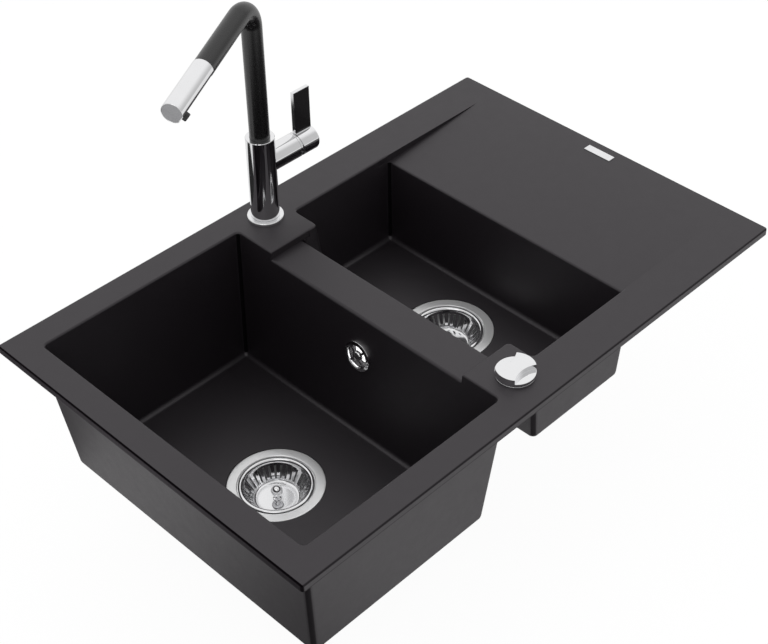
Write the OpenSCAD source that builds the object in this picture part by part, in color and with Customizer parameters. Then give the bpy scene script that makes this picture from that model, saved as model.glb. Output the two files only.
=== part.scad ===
/* [Deck] */
// Overall length of the sink, left to right
deck_length = 785; // [775:1:805]
// Overall depth of the sink, front to back
deck_depth = 505; // [500:1:525]
// Height of the deck's top above the worktop
deck_thick = 10; // [9:0.5:12]
// Corner radius of the deck seen from above
deck_corner = 4; // [4:0.5:9]
// Radius of the deck's upper edge
deck_round = 2; // [1:0.25:3.5]
// How far the deck laps over the worktop
rim_lap = 12.5; // [11:0.5:14]
// Width of the seal strip under the rim
seal_width = 5; // [3:0.5:6]
// Depth of the seal strip's groove
seal_depth = 2; // [1:0.25:3]

/* [Bowls] */
// Thickness of the bowls' walls
wall = 8; // [7:0.5:9]
// Thickness of the bowls' floors
floor_thick = 10; // [9:0.5:11]
// Length of the main bowl at the deck
main_length = 291.1; // [280:0.5:295]
// Depth of the main bowl at the deck, front to back
main_width = 431; // [425:1:434]
// Depth of the main bowl below the deck's top
main_deep = 180; // [170:1:190]
// Distance from the deck's left edge to the main bowl
main_margin = 36.1; // [34.5:0.2:38.5]
// How far each main bowl wall leans in over its depth
main_taper = 16.7; // [10:0.1:17]
// How much thinner the main bowl's left wall is at the bottom
main_left_thinned = 3; // [0:0.2:3.6]
// Width of the divider between the bowls
divider_width = 50.7; // [49:0.1:54]
// How far the divider lies below the deck's top
divider_drop = 10; // [9:0.5:11]
// Length of the half bowl at the deck
half_length = 195; // [190:0.5:200]
// Depth of the half bowl at the deck, front to back
half_width = 394; // [388:1:400]
// Depth of the half bowl below the deck's top
half_deep = 124; // [118:1:130]
// How far each half bowl wall leans in over its depth
half_taper = 12; // [8:0.1:12]
// How much thicker the half bowl's front wall is at the bottom
half_front_thickened = 8; // [0:0.5:9]
// Radius of the bowls' upright inner corners
bowl_corner = 6; // [5:0.5:8]
// Radius where the bowls' walls meet their floors
floor_round = 6; // [5:0.5:8]
// Radius of the bowls' upper edges
mouth_round = 2.5; // [1:0.25:4]
// Radius of the upright corners on the bowls' outsides
shell_corner = 8; // [7:0.5:12]
// Radius of the lower edges on the bowls' outsides
shell_edge = 7; // [4:0.5:7]

// How far the half bowl's left corners are stepped in for the two platforms
platform_step = 26.3; // [25.8:0.1:28]
// How far the tap's platform reaches forwards from the tap's axis
tap_reach = 58.5; // [55.5:0.5:63.5]
// How far the knob's platform reaches back from the knob's axis
knob_reach = 42; // [40:0.5:47]

/* [Drainer] */
// Distance from the sloped drainer's end to the deck's right edge
drainer_margin = 41.5; // [40:0.5:52]
// Height of the drainer's low end above the worktop
drainer_low = 0; // [0:0.5:1]
// Distance from the deck's right edge to the badge plate's middle
badge_inset = 19; // [16.5:0.5:22.5]
// Length of the badge plate
badge_length = 42; // [30:1:60]
// Width of the badge plate
badge_width = 11.7; // [8:0.1:12]
// Height of the badge plate above the deck
badge_thick = 0.9; // [0.5:0.1:1.5]

/* [Waste] */
// Distance from the half bowl's right edge to its drain
half_drain_in = 97; // [91:0.2:102]
// Diameter of the drain holes in the floors
drain_hole = 90; // [89.5:0.25:91]
// Outer diameter of the waste flange
flange_outer = 117; // [112:0.5:119]
// Thickness of the waste flange's ring
flange_thick = 2; // [1.5:0.1:3]
// Outer diameter of the flange's cup
cup_outer = 88; // [87:0.1:89]
// Depth of the flange's cup below the bowl's floor
cup_deep = 38; // [36:1:42]
// Outer diameter of the strainer basket's rim
basket_rim = 91; // [90:0.1:91.4]
// Inner diameter of the strainer basket's rim
basket_mouth = 77; // [74:0.5:78]
// Diameter of the strainer basket's floor
basket_floor = 56; // [52:0.5:58]
// Depth of the strainer basket
basket_deep = 24; // [20:0.5:26]
// Number of slots in the basket's wall
basket_slots = 32; // [16:1:36]
// Diameter of the ball on the basket's post
post_ball = 14; // [12:0.5:16]
// Diameter of the lift pin
pin_d = 6; // [5:0.1:7]
// How far the lift pin raises the main basket
pin_lift = 10; // [8:0.5:11]
// Outer diameter of the waste outlet's thread
outlet_outer = 47.8; // [47:0.1:49]
// Bore of the waste outlet
outlet_bore = 40; // [38:0.5:42]
// Length of the waste outlet's thread
outlet_length = 20; // [18:1:24]
// Diameter of the crank's shaft
crank_shaft = 6; // [5:0.1:7]
// Length of the crank's finger
crank_finger = 14.6; // [13:0.1:16]

/* [Overflow] */
// Depth of the overflow hole below the deck's top
overflow_drop = 67; // [60:1:75]
// Diameter of the overflow rosette
rosette_outer = 40; // [38:0.5:44]
// Diameter of the overflow hole through the wall
overflow_hole = 28; // [26:0.5:30]
// Outer diameter of the overflow hose
hose_outer = 22; // [20:0.5:23]
// Bore of the overflow hose
hose_bore = 16; // [14:0.5:16.5]

/* [Control knob] */
// Distance of the knob's axis from the main bowl's right edge
knob_out = 41.3; // [39.3:0.5:43.3]
// Distance of the knob's axis from the deck's front edge
knob_inset = 50.5; // [47.5:0.5:52.5]
// Diameter of the control knob
knob_outer = 46.5; // [44:0.5:47]
// Height of the control knob above the deck
knob_height = 12; // [11:0.5:14]
// Radius of the finger bites in the knob
bite_radius = 34; // [30:0.5:36]
// Width of the bar left between the bites
bite_waist = 19; // [16:0.5:22]
// Height of the ledge left below the bites
bite_ledge = 5.8; // [4:0.1:6]
// Diameter of the tap hole and the knob hole
tap_hole = 35; // [34.5:0.1:36]

/* [Tap] */
// Distance from the tap's axis to the deck's back edge
tap_inset = 39; // [38:0.5:40.5]
// Distance of the tap's axis from the main bowl's right edge
tap_out = 44.1; // [42.3:0.2:45.3]
// Outer diameter of the tap's base ring
base_outer = 46; // [44:0.5:48]
// Height of the tap's base ring
base_height = 5; // [4:0.5:6]
// Outer diameter of the tap's body
body_outer = 36; // [35:0.5:37]
// Height of the tap body's top above the deck
body_height = 120.5; // [115:0.5:126]
// Outer diameter of the spout tube
spout_outer = 25; // [24:0.25:26]
// Bore of the spout tube
spout_bore = 21; // [20:0.25:21.5]
// Height above the worktop where the spout's two axes meet
spout_top = 316; // [300:1:325]
// Radius of the spout's bend along its axis
bend_radius = 30; // [26:0.5:34]
// How far the spout's arm points below level
arm_pitch = 6.5; // [4:0.1:8]
// Direction that the spout's arm points at rest
arm_turn = -155; // [-160:1:-150]
// Distance along the arm from the tap's axis to the spray head
arm_length = 128.5; // [120:0.5:135]
// Length of the spray head
head_length = 79; // [74:0.5:84]
// Outer diameter of the spray head
head_outer = 26; // [25:0.25:27]
// Outer diameter of the spray nozzle
nozzle_outer = 10; // [8:0.25:12]
// How far the spray nozzle stands out
nozzle_out = 5; // [4:0.25:6]

/* [Lever] */
// Height of the lever's axis above the worktop
lever_height = 91; // [86:0.5:96]
// Outer diameter of the tap's side housing
side_outer = 31.8; // [31:0.1:33]
// Distance from the tap's axis to the end of the side housing
side_reach = 52; // [50:0.5:54]
// Distance from the tap's axis to the end of the lever's hub
hub_reach = 83.2; // [82:0.2:86]
// Width of the lever's blade
blade_width = 25.7; // [24:0.1:26.5]
// Thickness of the lever's blade
blade_thick = 5; // [4:0.25:6]
// Height of the blade's tip above the lever's axis
blade_height = 75.5; // [70:0.5:80]
// How far the lever tilts to full flow
flow_angle = 16; // [12:1:16]

/* [Hidden] */
$fn = 64;
corner_steps = 6;
fillet_steps = 5;
drop = 0.02;
guide_gap = 0.1;
spout_sides = 48;
spout_steps = 12;
plastic_wall = 3;
running_gap = 0.05;
turning_gap = 0.3;

// Places worked out from the deck and the bowls
left_edge = -deck_length / 2;
main_x0 = left_edge + main_margin;
main_x1 = main_x0 + main_length;
half_x0 = main_x1 + divider_width;
half_x1 = half_x0 + half_length;
step_x = half_x0 + platform_step;
drainer_x1 = -left_edge - drainer_margin;
main_floor = deck_thick - main_deep;
half_floor = deck_thick - half_deep;
divider_top = deck_thick - divider_drop;
divider_web = 9;
main_drain_x = (main_x0 + main_x1) / 2;
half_drain_x = half_x1 - half_drain_in;
tap_x = main_x1 + tap_out;
tap_y = deck_depth / 2 - tap_inset;
knob_x = main_x1 + knob_out;
knob_y = knob_inset - deck_depth / 2;
tap_platform = tap_y - tap_reach;
knob_platform = -knob_y - knob_reach;
cut_margin = 20;
divider_round = 4;
flange_lip = 0.4;
seat_cone = 5;
seat_drop = 2.3;
basket_gap = 1;
rim_thick = 1.2;
seal_low = 2.1;
cup_holes = 6;
floor_holes = 8;
slot_w = 2.6;
post_r = 3;
post_foot = 2;
post_top = -4;
gasket_thick = 3;
body_r = cup_outer / 2 + 1.5;
body_flange_r = 56;
screw_r = 5;
screw_tail = 2;
hub_r = 9;
hub_thick = 6;
hub_arms = 3;
cone_drop = 8;
crank_half = asin(pin_lift / (2 * crank_finger));
crank_x = crank_finger * cos(crank_half);
crank_z = -cup_deep - hub_thick - screw_tail - 1 - crank_shaft / 2 - pin_lift / 2;
crank_room = 12;
boss_inner = body_r - 3;
boss_outer = body_r + plastic_wall + 7;
cover_r = 13;
cover_deep = 13;
ferrule_r = 4;
ferrule_h = 10;
hose_x = main_x1 + 17.3;
hose_z = main_floor - floor_thick - gasket_thick - 18;
inlet_collar = 12;
spigot = 12;
rosette_thick = 4;
rosette_screw_r = 2;
elbow_r = 18;
elbow_top = wall + 2;
elbow_deep = 17;
elbow_low = deck_thick - overflow_drop - 28;
base_plate = 1.5;
spindle_r = 4;
pulley_r = 10;
stem_r = 14.5;
stem_low = -20;
housing_low = -50;
cable_z = housing_low + 8;
cable_d = 5;
nut_r = 21;
nut_thick = 8;
shank_r = 14;
shank_bore = 11.5;
shank_low = -45;
shank_grip = 8;
body_low = deck_thick + base_height;
inlet_x = 5.2;
inlet_y = -3;
inlet_r = 4.5;
inlet_deep = 12;
hose_hole_y = 6;
water_r = 9;
bush_r = 15;
cartridge_low = 20;
cartridge_r = 12.5;
rotor_r = 9.5;
rotor_bore = 7;
rotor_back = 12;
rotor_front = 5;
nut_from = side_reach - 5;
pivot_x = side_reach + 3;
pivot_pin_r = 1.5;
dome_r = side_outer / 2 - 1.4;
lever_stem_r = 4;
stem_back = 7;
stem_front = 21;
grub_x = pivot_x + 19;
grub_r = 2;
grub_length = 8;
blade_from = pivot_x - 0.6;
inlay_rim = 0.9;
inlay_thick = 0.8;
spout_low = lever_height + cartridge_r + 3;
collar_low = deck_thick + body_height - 4;
stub_length = 70;
stub_r = 6.5;
guide_length = 8;
spigot_length = 14;
spigot_r = 7.5;
head_wall = 3;
cap_thick = 2;
flat_roll = 54;
strip_half = 5.6;
strip_thick = 0.8;
flat_r = head_outer / 2 - 1.3;
nozzle_back = 8.5;
nozzle_in = 5;
main_slope = atan(main_taper / main_deep);
half_slope = atan(half_taper / half_deep);

function unit(v) = v / norm(v);

// Lean of a bowl's walls, inwards from the deck, at a height
function lean(z, taper, deep) = taper * (deck_thick - z) / deep;

// Main bowl's outline seen from above, drawn in by d
function main_outline(d) = [
    [main_x0 + d, -main_width / 2 + d], [main_x1 - d, -main_width / 2 + d],
    [main_x1 - d, main_width / 2 - d], [main_x0 + d, main_width / 2 - d]
];

// Half bowl's outline seen from above, drawn in by d
function half_outline(d) = [
    [step_x + d, -half_width / 2 + d], [half_x1 - d, -half_width / 2 + d],
    [half_x1 - d, half_width / 2 - d], [step_x + d, half_width / 2 - d],
    [step_x + d, tap_platform - d], [half_x0 + d, tap_platform - d],
    [half_x0 + d, -knob_platform + d], [step_x + d, -knob_platform + d]
];

function deck_outline(d) = [
    [left_edge + d, -deck_depth / 2 + d], [-left_edge - d, -deck_depth / 2 + d],
    [-left_edge - d, deck_depth / 2 - d], [left_edge + d, deck_depth / 2 - d]
];

// Which corners of an outline turn outwards
main_turns = [1, 1, 1, 1];
half_turns = [1, 1, 1, 1, -1, 1, 1, -1];

// Arc that rounds corner b between its neighbours a and c
function corner_arc(a, b, c, r, z) =
    let (u = unit(a - b), v = unit(c - b), m = b + (u + v) * r)
    [for (i = [0 : corner_steps])
        let (t = 90 * i / corner_steps, q = m - v * r * cos(t) - u * r * sin(t))
        [q[0], q[1], z]];

// Ring of points round an outline, with each corner's radius grown by its turn
function ring(outline, turns, r, grow, z) =
    let (n = len(outline))
    [for (k = [0 : n - 1])
        each corner_arc(outline[(k + n - 1) % n], outline[k], outline[(k + 1) % n],
            max(r + grow * turns[k], 0.6), z)];

// Middle of a ring, seen by all its points
function middle(points) = sum_of(points, len(points) - 1) / len(points);

function sum_of(points, last) =
    last < 0 ? [0, 0, 0] : points[last] + sum_of(points, last - 1);

// Closed solid through a stack of rings, from the lowest to the highest
module loft(rings) {
    n = len(rings[0]);
    m = len(rings);
    sides = [for (i = [0 : m - 2]) for (j = [0 : n - 1])
        let (a = i * n + j, b = i * n + (j + 1) % n)
        each [[a, a + n, b + n], [a, b + n, b]]];
    floor_faces = [for (j = [0 : n - 1]) [j, (j + 1) % n, m * n]];
    roof_faces = [for (j = [0 : n - 1]) [(m - 1) * n + (j + 1) % n, (m - 1) * n + j, m * n + 1]];
    polyhedron(points = [for (level = rings) each level, middle(rings[0]), middle(rings[m - 1])],
        faces = concat(floor_faces, sides, roof_faces));
}

// Fillet rings of a cavity, from its floor up to the deck
function cavity_rings(kind, floor_z, taper, deep) = [
    for (i = [0 : fillet_steps])
        let (t = 90 * i / fillet_steps, in = floor_round * (1 - sin(t)),
            z = floor_z + floor_round * (1 - cos(t)))
        outline_ring(kind, lean(z, taper, deep) + in, bowl_corner, -in, z),
    for (i = [0 : fillet_steps])
        let (t = 90 * i / fillet_steps, out = mouth_round * (1 - cos(t)),
            z = deck_thick - mouth_round * (1 - sin(t)))
        outline_ring(kind, lean(z, taper, deep) - out, bowl_corner, out, z),
    outline_ring(kind, -mouth_round, bowl_corner, mouth_round, deck_thick + 1)
];

// Rings of a bowl's outside, from its underside up into the deck
function shell_rings(kind, floor_z, taper, deep) =
    let (low = floor_z - floor_thick)
    [
        for (i = [0 : fillet_steps])
            let (t = 90 * i / fillet_steps, in = shell_edge * (1 - sin(t)),
                z = low + shell_edge * (1 - cos(t)))
            outer_ring(kind, lean(z, taper, deep) - wall + in, -in, z),
        outer_ring(kind, lean(deck_thick / 2, taper, deep) - wall, 0, deck_thick / 2)
    ];

// A bowl's outer ring: the main bowl's left wall thins downwards, the half bowl's front wall thickens
function outer_ring(kind, d, grow, z) = [for (p = outline_ring(kind, d, shell_corner, grow, z))
    kind == "main" && p[0] < main_drain_x ? p + [lean(z, main_left_thinned, main_deep), 0, 0]
        : kind == "half" && p[1] < 0 ? p - [0, lean(z, half_front_thickened, half_deep), 0]
        : p];

function outline_ring(kind, d, r, grow, z) =
    kind == "main" ? ring(main_outline(d), main_turns, r, grow, z)
        : kind == "half" ? ring(half_outline(d), half_turns, r, grow, z)
        : ring(deck_outline(d), main_turns, r, grow, z);

module deck_plate() {
    lower_edge = 1;
    loft([
        outline_ring("deck", lower_edge, deck_corner, -lower_edge, 0),
        outline_ring("deck", 0, deck_corner, 0, lower_edge),
        for (i = [0 : fillet_steps])
            let (t = 90 * i / fillet_steps, in = deck_round * (1 - cos(t)))
            outline_ring("deck", in, deck_corner, -in, deck_thick - deck_round * (1 - sin(t)))
    ]);
}

// Low bridge that joins the two bowls under the divider
module divider_bridge() {
    translate([main_x1 - 1, -knob_platform - wall, divider_top - divider_web])
        cube([divider_width + 2, knob_platform + tap_platform + 2 * wall, divider_web + 1]);
}

// Opening above the divider, with rounded upper edges at its two ends
module divider_opening() {
    over = 12;
    span = [main_x1 - over, half_x0 + over];
    loft([
        slot_ring(span, 0, divider_top),
        for (i = [0 : fillet_steps])
            let (t = 90 * i / fillet_steps, out = mouth_round * (1 - cos(t)))
            slot_ring(span, out, deck_thick - mouth_round * (1 - sin(t))),
        slot_ring(span, mouth_round, deck_thick + 1)
    ]);
}

function slot_ring(span, out, z) = [
    [span[0], -knob_platform - out, z], [span[1], -knob_platform - out, z],
    [span[1], tap_platform + out, z], [span[0], tap_platform + out, z]
];

// Cutter that rounds an edge along Y, where the solid lies on the +X side
module edge_round(r, slope, y0, y1) {
    reach = r * tan((90 - slope) / 2);
    foot = [-reach * sin(slope), -reach * cos(slope)];
    translate([0, y1, 0])
        rotate([90, 0, 0])
            linear_extrude(y1 - y0)
                difference() {
                    polygon([[-1, 1], foot - [1, 0], foot, [reach, -r], [reach, 1]]);
                    translate([reach, -r])
                        circle(r);
                }
}

// Sloped plate under the drainer
module drainer_plate() {
    plate = 9;
    half_span = half_width / 2 + wall;
    translate([0, half_span, 0])
        rotate([90, 0, 0])
            linear_extrude(2 * half_span)
                polygon([
                    [half_x1 - 1, drainer_low - plate], [drainer_x1, deck_thick - plate],
                    [drainer_x1, deck_thick - 1], [half_x1 - 1, deck_thick - 1]
                ]);
}

// Wedge cut out of the deck above the drainer
module drainer_opening() {
    translate([0, half_width / 2, 0])
        rotate([90, 0, 0])
            linear_extrude(half_width)
                polygon([
                    [half_x1 - cut_margin, drainer_low], [half_x1, drainer_low],
                    [drainer_x1, deck_thick], [half_x1 - cut_margin, deck_thick + 1]
                ]);
}

// Frame that the seal strip fills, inside the rim's lap over the worktop
module seal_frame(top) {
    side_margin = (rim_lap - seal_width) / 2;
    linear_extrude(top)
        difference() {
            square([deck_length - 2 * side_margin, deck_depth - 2 * side_margin], center = true);
            square([
                deck_length - 2 * (side_margin + seal_width),
                deck_depth - 2 * (side_margin + seal_width)
            ], center = true);
        }
}

// Drain hole with the flange's recess and a chamfer for the flange's cup
module drain_cut() {
    depth = flange_thick - flange_lip;
    translate([0, 0, -floor_thick - 1])
        cylinder(d = drain_hole, h = floor_thick + 2);
    translate([0, 0, -depth - seat_cone])
        cylinder(d1 = drain_hole, d2 = drain_hole + 2 * seat_cone, h = seat_cone);
    translate([0, 0, -depth])
        cylinder(d = flange_outer + 2, h = depth + 1);
}

// Places children on the overflow hole, with +Z pointing into the main bowl
module at_overflow() {
    z = deck_thick - overflow_drop;
    translate([main_x1 - lean(z, main_taper, main_deep), 0, z])
        rotate([0, main_slope - 90, 0])
            children();
}

module sink_casting() {
    color([0.13, 0.125, 0.135])
        difference() {
            union() {
                deck_plate();
                loft(shell_rings("main", main_floor, main_taper, main_deep));
                loft(shell_rings("half", half_floor, half_taper, half_deep));
                divider_bridge();
                drainer_plate();
            }
            loft(cavity_rings("main", main_floor, main_taper, main_deep));
            loft(cavity_rings("half", half_floor, half_taper, half_deep));
            divider_opening();
            drainer_opening();
            translate([main_x1 - lean(divider_top, main_taper, main_deep), 0, divider_top])
                edge_round(divider_round, main_slope, -knob_platform, tap_platform);
            translate([half_x0 + lean(divider_top, half_taper, half_deep), 0, divider_top])
                mirror([1, 0, 0])
                    edge_round(divider_round, half_slope, -knob_platform, tap_platform);
            translate([half_x1 - lean(drainer_low, half_taper, half_deep), 0, drainer_low])
                edge_round(mouth_round, half_slope, -half_width / 2 + bowl_corner,
                    half_width / 2 - bowl_corner);
            translate([tap_x, tap_y, -1])
                cylinder(d = tap_hole, h = deck_thick + 2);
            translate([knob_x, knob_y, -1])
                cylinder(d = tap_hole, h = deck_thick + 2);
            translate([main_drain_x, 0, main_floor])
                drain_cut();
            translate([half_drain_x, 0, half_floor])
                drain_cut();
            at_overflow()
                translate([0, 0, -2 * wall])
                    cylinder(d = overflow_hole, h = 3 * wall);
            translate([0, 0, -drop])
                seal_frame(seal_depth + drop);
        }
}

module rim_seal() {
    color([0.08, 0.08, 0.08])
        seal_frame(seal_depth);
}

module badge_plate() {
    color([0.85, 0.85, 0.86])
        translate([-left_edge - badge_inset - badge_width / 2, -badge_length / 2, deck_thick])
            cube([badge_width, badge_length, badge_thick]);
}

// Ring about the z axis from its radii and heights
module tube(r_out, r_in, z0, z1) {
    rotate_extrude()
        translate([r_in, z0])
            square([r_out - r_in, z1 - z0]);
}

module at_main_drain() {
    translate([main_drain_x, 0, main_floor])
        children();
}

module at_half_drain() {
    translate([half_drain_x, 0, half_floor])
        children();
}

// Flange and cup that line a drain hole
module waste_flange() {
    cup_r = cup_outer / 2;
    sheet = 1.8;
    seat_r = basket_rim / 2 + basket_gap;
    depth = flange_thick - flange_lip;
    color([0.75, 0.75, 0.76])
        difference() {
            rotate_extrude()
                polygon([
                    [screw_r, -cup_deep], [cup_r, -cup_deep], [cup_r, -depth - seat_cone],
                    [seat_r + sheet, -depth], [flange_outer / 2, -depth], [flange_outer / 2, 0],
                    [flange_outer / 2 - flange_lip, flange_lip], [seat_r + flange_lip, flange_lip],
                    [seat_r, 0], [seat_r, -seat_drop], [cup_r - sheet, -seat_drop],
                    [cup_r - sheet, -cup_deep + sheet], [screw_r, -cup_deep + sheet]
                ]);
            for (i = [0 : cup_holes - 1])
                rotate(360 * i / cup_holes)
                    translate([cup_r * 0.6, 0, -cup_deep - 1])
                        cylinder(d = cup_r * 0.4, h = sheet + 2);
        }
}

// Flat rubber ring between the bowl's underside and the waste body
module waste_gasket() {
    color([0.1, 0.1, 0.1])
        tube(body_flange_r, body_r, -floor_thick - gasket_thick, -floor_thick);
}

// Plastic body under a bowl, with its screw hub and threaded outlet
module waste_shell(chamber_low) {
    top = -floor_thick - gasket_thick;
    flange_low = top - plastic_wall;
    outer_r = body_r + plastic_wall;
    cone_low = chamber_low - cone_drop;
    outlet_low = cone_low - outlet_length;
    hub_low = -cup_deep - hub_thick;
    rotate_extrude()
        polygon([
            [body_r, top], [body_flange_r, top], [body_flange_r, flange_low],
            [outer_r, flange_low], [outer_r, chamber_low], [outlet_outer / 2, cone_low],
            [outlet_outer / 2, outlet_low], [outlet_bore / 2, outlet_low],
            [outlet_bore / 2, cone_low], [body_r, chamber_low + plastic_wall]
        ]);
    difference() {
        union() {
            translate([0, 0, hub_low])
                cylinder(r = hub_r, h = hub_thick);
            for (i = [0 : hub_arms - 1])
                rotate(90 + 360 * i / hub_arms)
                    translate([0, -plastic_wall / 2, hub_low])
                        cube([body_r + 1, plastic_wall, hub_thick]);
        }
        translate([0, 0, hub_low - 1])
            cylinder(r = screw_r, h = hub_thick + 2);
    }
}

// Screw that pulls the flange down onto the waste body, hollow where a pin runs through it
module tie_screw(bore_r) {
    head_low = -cup_deep + 2;
    color([0.72, 0.72, 0.73])
        difference() {
            union() {
                translate([0, 0, head_low])
                    cylinder(r = hub_r, h = 3);
                translate([0, 0, -cup_deep - hub_thick - screw_tail])
                    cylinder(r = screw_r - running_gap, h = hub_thick + screw_tail + 3);
            }
            if (bore_r > 0)
                translate([0, 0, -cup_deep - hub_thick - screw_tail - 1])
                    cylinder(r = bore_r, h = hub_thick + screw_tail + 7);
            else
                translate([-hub_r, -0.8, head_low + 1.8])
                    cube([2 * hub_r, 1.6, 2]);
        }
}

// Strainer basket with a rolled rim, a slotted wall and a flat floor
module basket() {
    rim_r = basket_rim / 2;
    mouth_r = basket_mouth / 2;
    floor_r = basket_floor / 2;
    sheet = 1;
    slot_h = basket_deep - 8;
    color([0.8, 0.8, 0.81])
        difference() {
            rotate_extrude()
                polygon([
                    [post_r, -basket_deep], [floor_r, -basket_deep], [mouth_r, -rim_thick],
                    [rim_r - 1, -rim_thick], [rim_r, -rim_thick + 1], [rim_r, 0],
                    [rim_r - 1.2, 1], [mouth_r - 0.6, 0.6], [mouth_r - sheet, -rim_thick + 0.6],
                    [floor_r - sheet, -basket_deep + sheet], [post_r, -basket_deep + sheet]
                ]);
            for (i = [0 : basket_slots - 1])
                rotate(360 * i / basket_slots)
                    translate([floor_r - 6, -slot_w / 2, -basket_deep + 3])
                        cube([rim_r - floor_r + 2, slot_w, slot_h]);
            for (i = [0 : floor_holes - 1])
                rotate(360 * i / floor_holes)
                    translate([floor_r * 0.62, 0, -basket_deep - 1])
                        cylinder(d = floor_r * 0.24, h = sheet + 2);
        }
}

// Post in the basket's middle, with a ball to lift it by and a foot underneath
module basket_post() {
    ball_r = post_ball / 2;
    color([0.82, 0.82, 0.83])
        union() {
            translate([0, 0, -basket_deep - post_foot])
                cylinder(r = post_r + 2.5, h = post_foot);
            translate([0, 0, -basket_deep])
                cylinder(r = post_r, h = basket_deep - ball_r + post_top);
            translate([0, 0, -basket_deep + 1])
                cylinder(r = post_r + 2, h = 1.2);
            translate([0, 0, post_top - ball_r])
                sphere(r = ball_r);
        }
}

// Rubber ring under the basket's rim that closes the cup
module basket_seal() {
    color([0.1, 0.1, 0.1])
        tube(basket_rim / 2 - 1.5, basket_mouth / 2 + 1.5, -seal_low, -rim_thick);
}

module main_waste_flange() {
    at_main_drain()
        waste_flange();
}

module main_waste_gasket() {
    at_main_drain()
        waste_gasket();
}

module main_tie_screw() {
    at_main_drain()
        tie_screw(pin_d / 2 + running_gap);
}

module main_basket() {
    at_main_drain()
        basket();
}

module main_basket_post() {
    at_main_drain()
        basket_post();
}

module main_basket_seal() {
    at_main_drain()
        basket_seal();
}

module half_waste_flange() {
    at_half_drain()
        waste_flange();
}

module half_waste_gasket() {
    at_half_drain()
        waste_gasket();
}

module half_tie_screw() {
    at_half_drain()
        tie_screw(0);
}

module half_basket() {
    at_half_drain()
        basket();
}

module half_basket_post() {
    at_half_drain()
        basket_post();
}

module half_basket_seal() {
    at_half_drain()
        basket_seal();
}

module half_waste_body() {
    color([0.15, 0.15, 0.16])
        at_half_drain()
            waste_shell(-cup_deep - hub_thick - 3);
}

module main_waste_body() {
    root = plastic_wall / 4;
    boss_r = crank_shaft / 2 + 4;
    color([0.15, 0.15, 0.16])
        at_main_drain()
            difference() {
                union() {
                    waste_shell(crank_z - crank_room);
                    translate([crank_x, -boss_inner, crank_z])
                        rotate([90, 0, 0])
                            cylinder(r = boss_r, h = boss_outer - boss_inner);
                    translate([crank_x, -boss_outer + plastic_wall, crank_z])
                        rotate([90, 0, 0])
                            cylinder(r = cover_r, h = plastic_wall);
                    translate([body_r + root, 0, hose_z - main_floor])
                        rotate([0, 90, 0])
                            cylinder(d = hose_outer, h = inlet_collar - root);
                    translate([body_r + root, 0, hose_z - main_floor])
                        rotate([0, 90, 0])
                            cylinder(d = hose_bore - 2 * running_gap,
                                h = inlet_collar + spigot - root);
                }
                translate([crank_x, 0, crank_z])
                    rotate([90, 0, 0])
                        cylinder(d = crank_shaft + 2 * running_gap, h = boss_outer + 1);
                translate([body_r - plastic_wall, 0, hose_z - main_floor])
                    rotate([0, 90, 0])
                        cylinder(d = hose_bore - 4, h = inlet_collar + spigot + 2 * plastic_wall);
            }
}

// Pin that the crank lifts, and that carries the main basket
module lift_pin() {
    low = crank_z - pin_lift / 2 + crank_shaft / 2 + 0.2;
    high = -basket_deep - post_foot;
    color([0.8, 0.8, 0.81])
        at_main_drain()
            translate([0, 0, low])
                cylinder(d = pin_d, h = high - low);
}

// Shaft through the waste body with a finger under the lift pin and a disc outside
module lift_crank() {
    shaft_r = crank_shaft / 2;
    inner_end = shaft_r + 2;
    color([0.7, 0.7, 0.71])
        at_main_drain()
            translate([crank_x, 0, crank_z])
                union() {
                    translate([0, inner_end, 0])
                        rotate([90, 0, 0])
                            cylinder(r = shaft_r, h = inner_end + boss_outer + cover_deep - 4);
                    rotate([0, -crank_half, 0])
                        translate([-crank_finger, -shaft_r, -shaft_r])
                            cube([crank_finger, 2 * shaft_r, shaft_r - 0.5]);
                    rotate([0, -crank_half, 0])
                        translate([-crank_finger, shaft_r, 0])
                            rotate([90, 0, 0])
                                cylinder(r = shaft_r, h = 2 * shaft_r);
                    translate([0, -boss_outer - 1, 0])
                        rotate([90, 0, 0])
                            cylinder(r = cover_r - 4, h = 4);
                }
}

// Cap over the crank's disc, with the cable's entry
module crank_cover() {
    color([0.13, 0.13, 0.14])
        at_main_drain()
            translate([crank_x, -boss_outer, crank_z])
                difference() {
                    union() {
                        rotate([90, 0, 0])
                            cylinder(r = cover_r, h = cover_deep);
                        translate([cover_r - plastic_wall, -cover_deep / 2, 0])
                            rotate([0, 90, 0])
                                cylinder(r = ferrule_r, h = ferrule_h + plastic_wall);
                    }
                    translate([0, drop, 0])
                        rotate([90, 0, 0])
                            cylinder(r = cover_r - plastic_wall + 0.5, h = cover_deep - 2);
                }
}

// Chrome ring with four windows and a middle boss
module overflow_rosette() {
    ring_r = rosette_outer / 2;
    window_r = ring_r - 5;
    boss_r = 6;
    spoke = 3;
    color([0.8, 0.8, 0.81])
        at_overflow()
            difference() {
                rotate_extrude()
                    polygon([
                        [rosette_screw_r + running_gap, 0], [ring_r, 0], [ring_r, rosette_thick - 2],
                        [ring_r - 2, rosette_thick], [window_r + 1.5, rosette_thick],
                        [window_r + 0.5, rosette_thick - 1], [boss_r + 0.5, rosette_thick - 1],
                        [boss_r, rosette_thick], [rosette_screw_r + 2, rosette_thick],
                        [rosette_screw_r + 2, rosette_thick - 1.5],
                        [rosette_screw_r + running_gap, rosette_thick - 1.5]
                    ]);
                translate([0, 0, -1])
                    linear_extrude(rosette_thick + 2)
                        difference() {
                            circle(window_r);
                            circle(boss_r + 1);
                            for (i = [0 : 1])
                                rotate(45 + 90 * i)
                                    square([2 * ring_r, spoke], center = true);
                        }
            }
}

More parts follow.
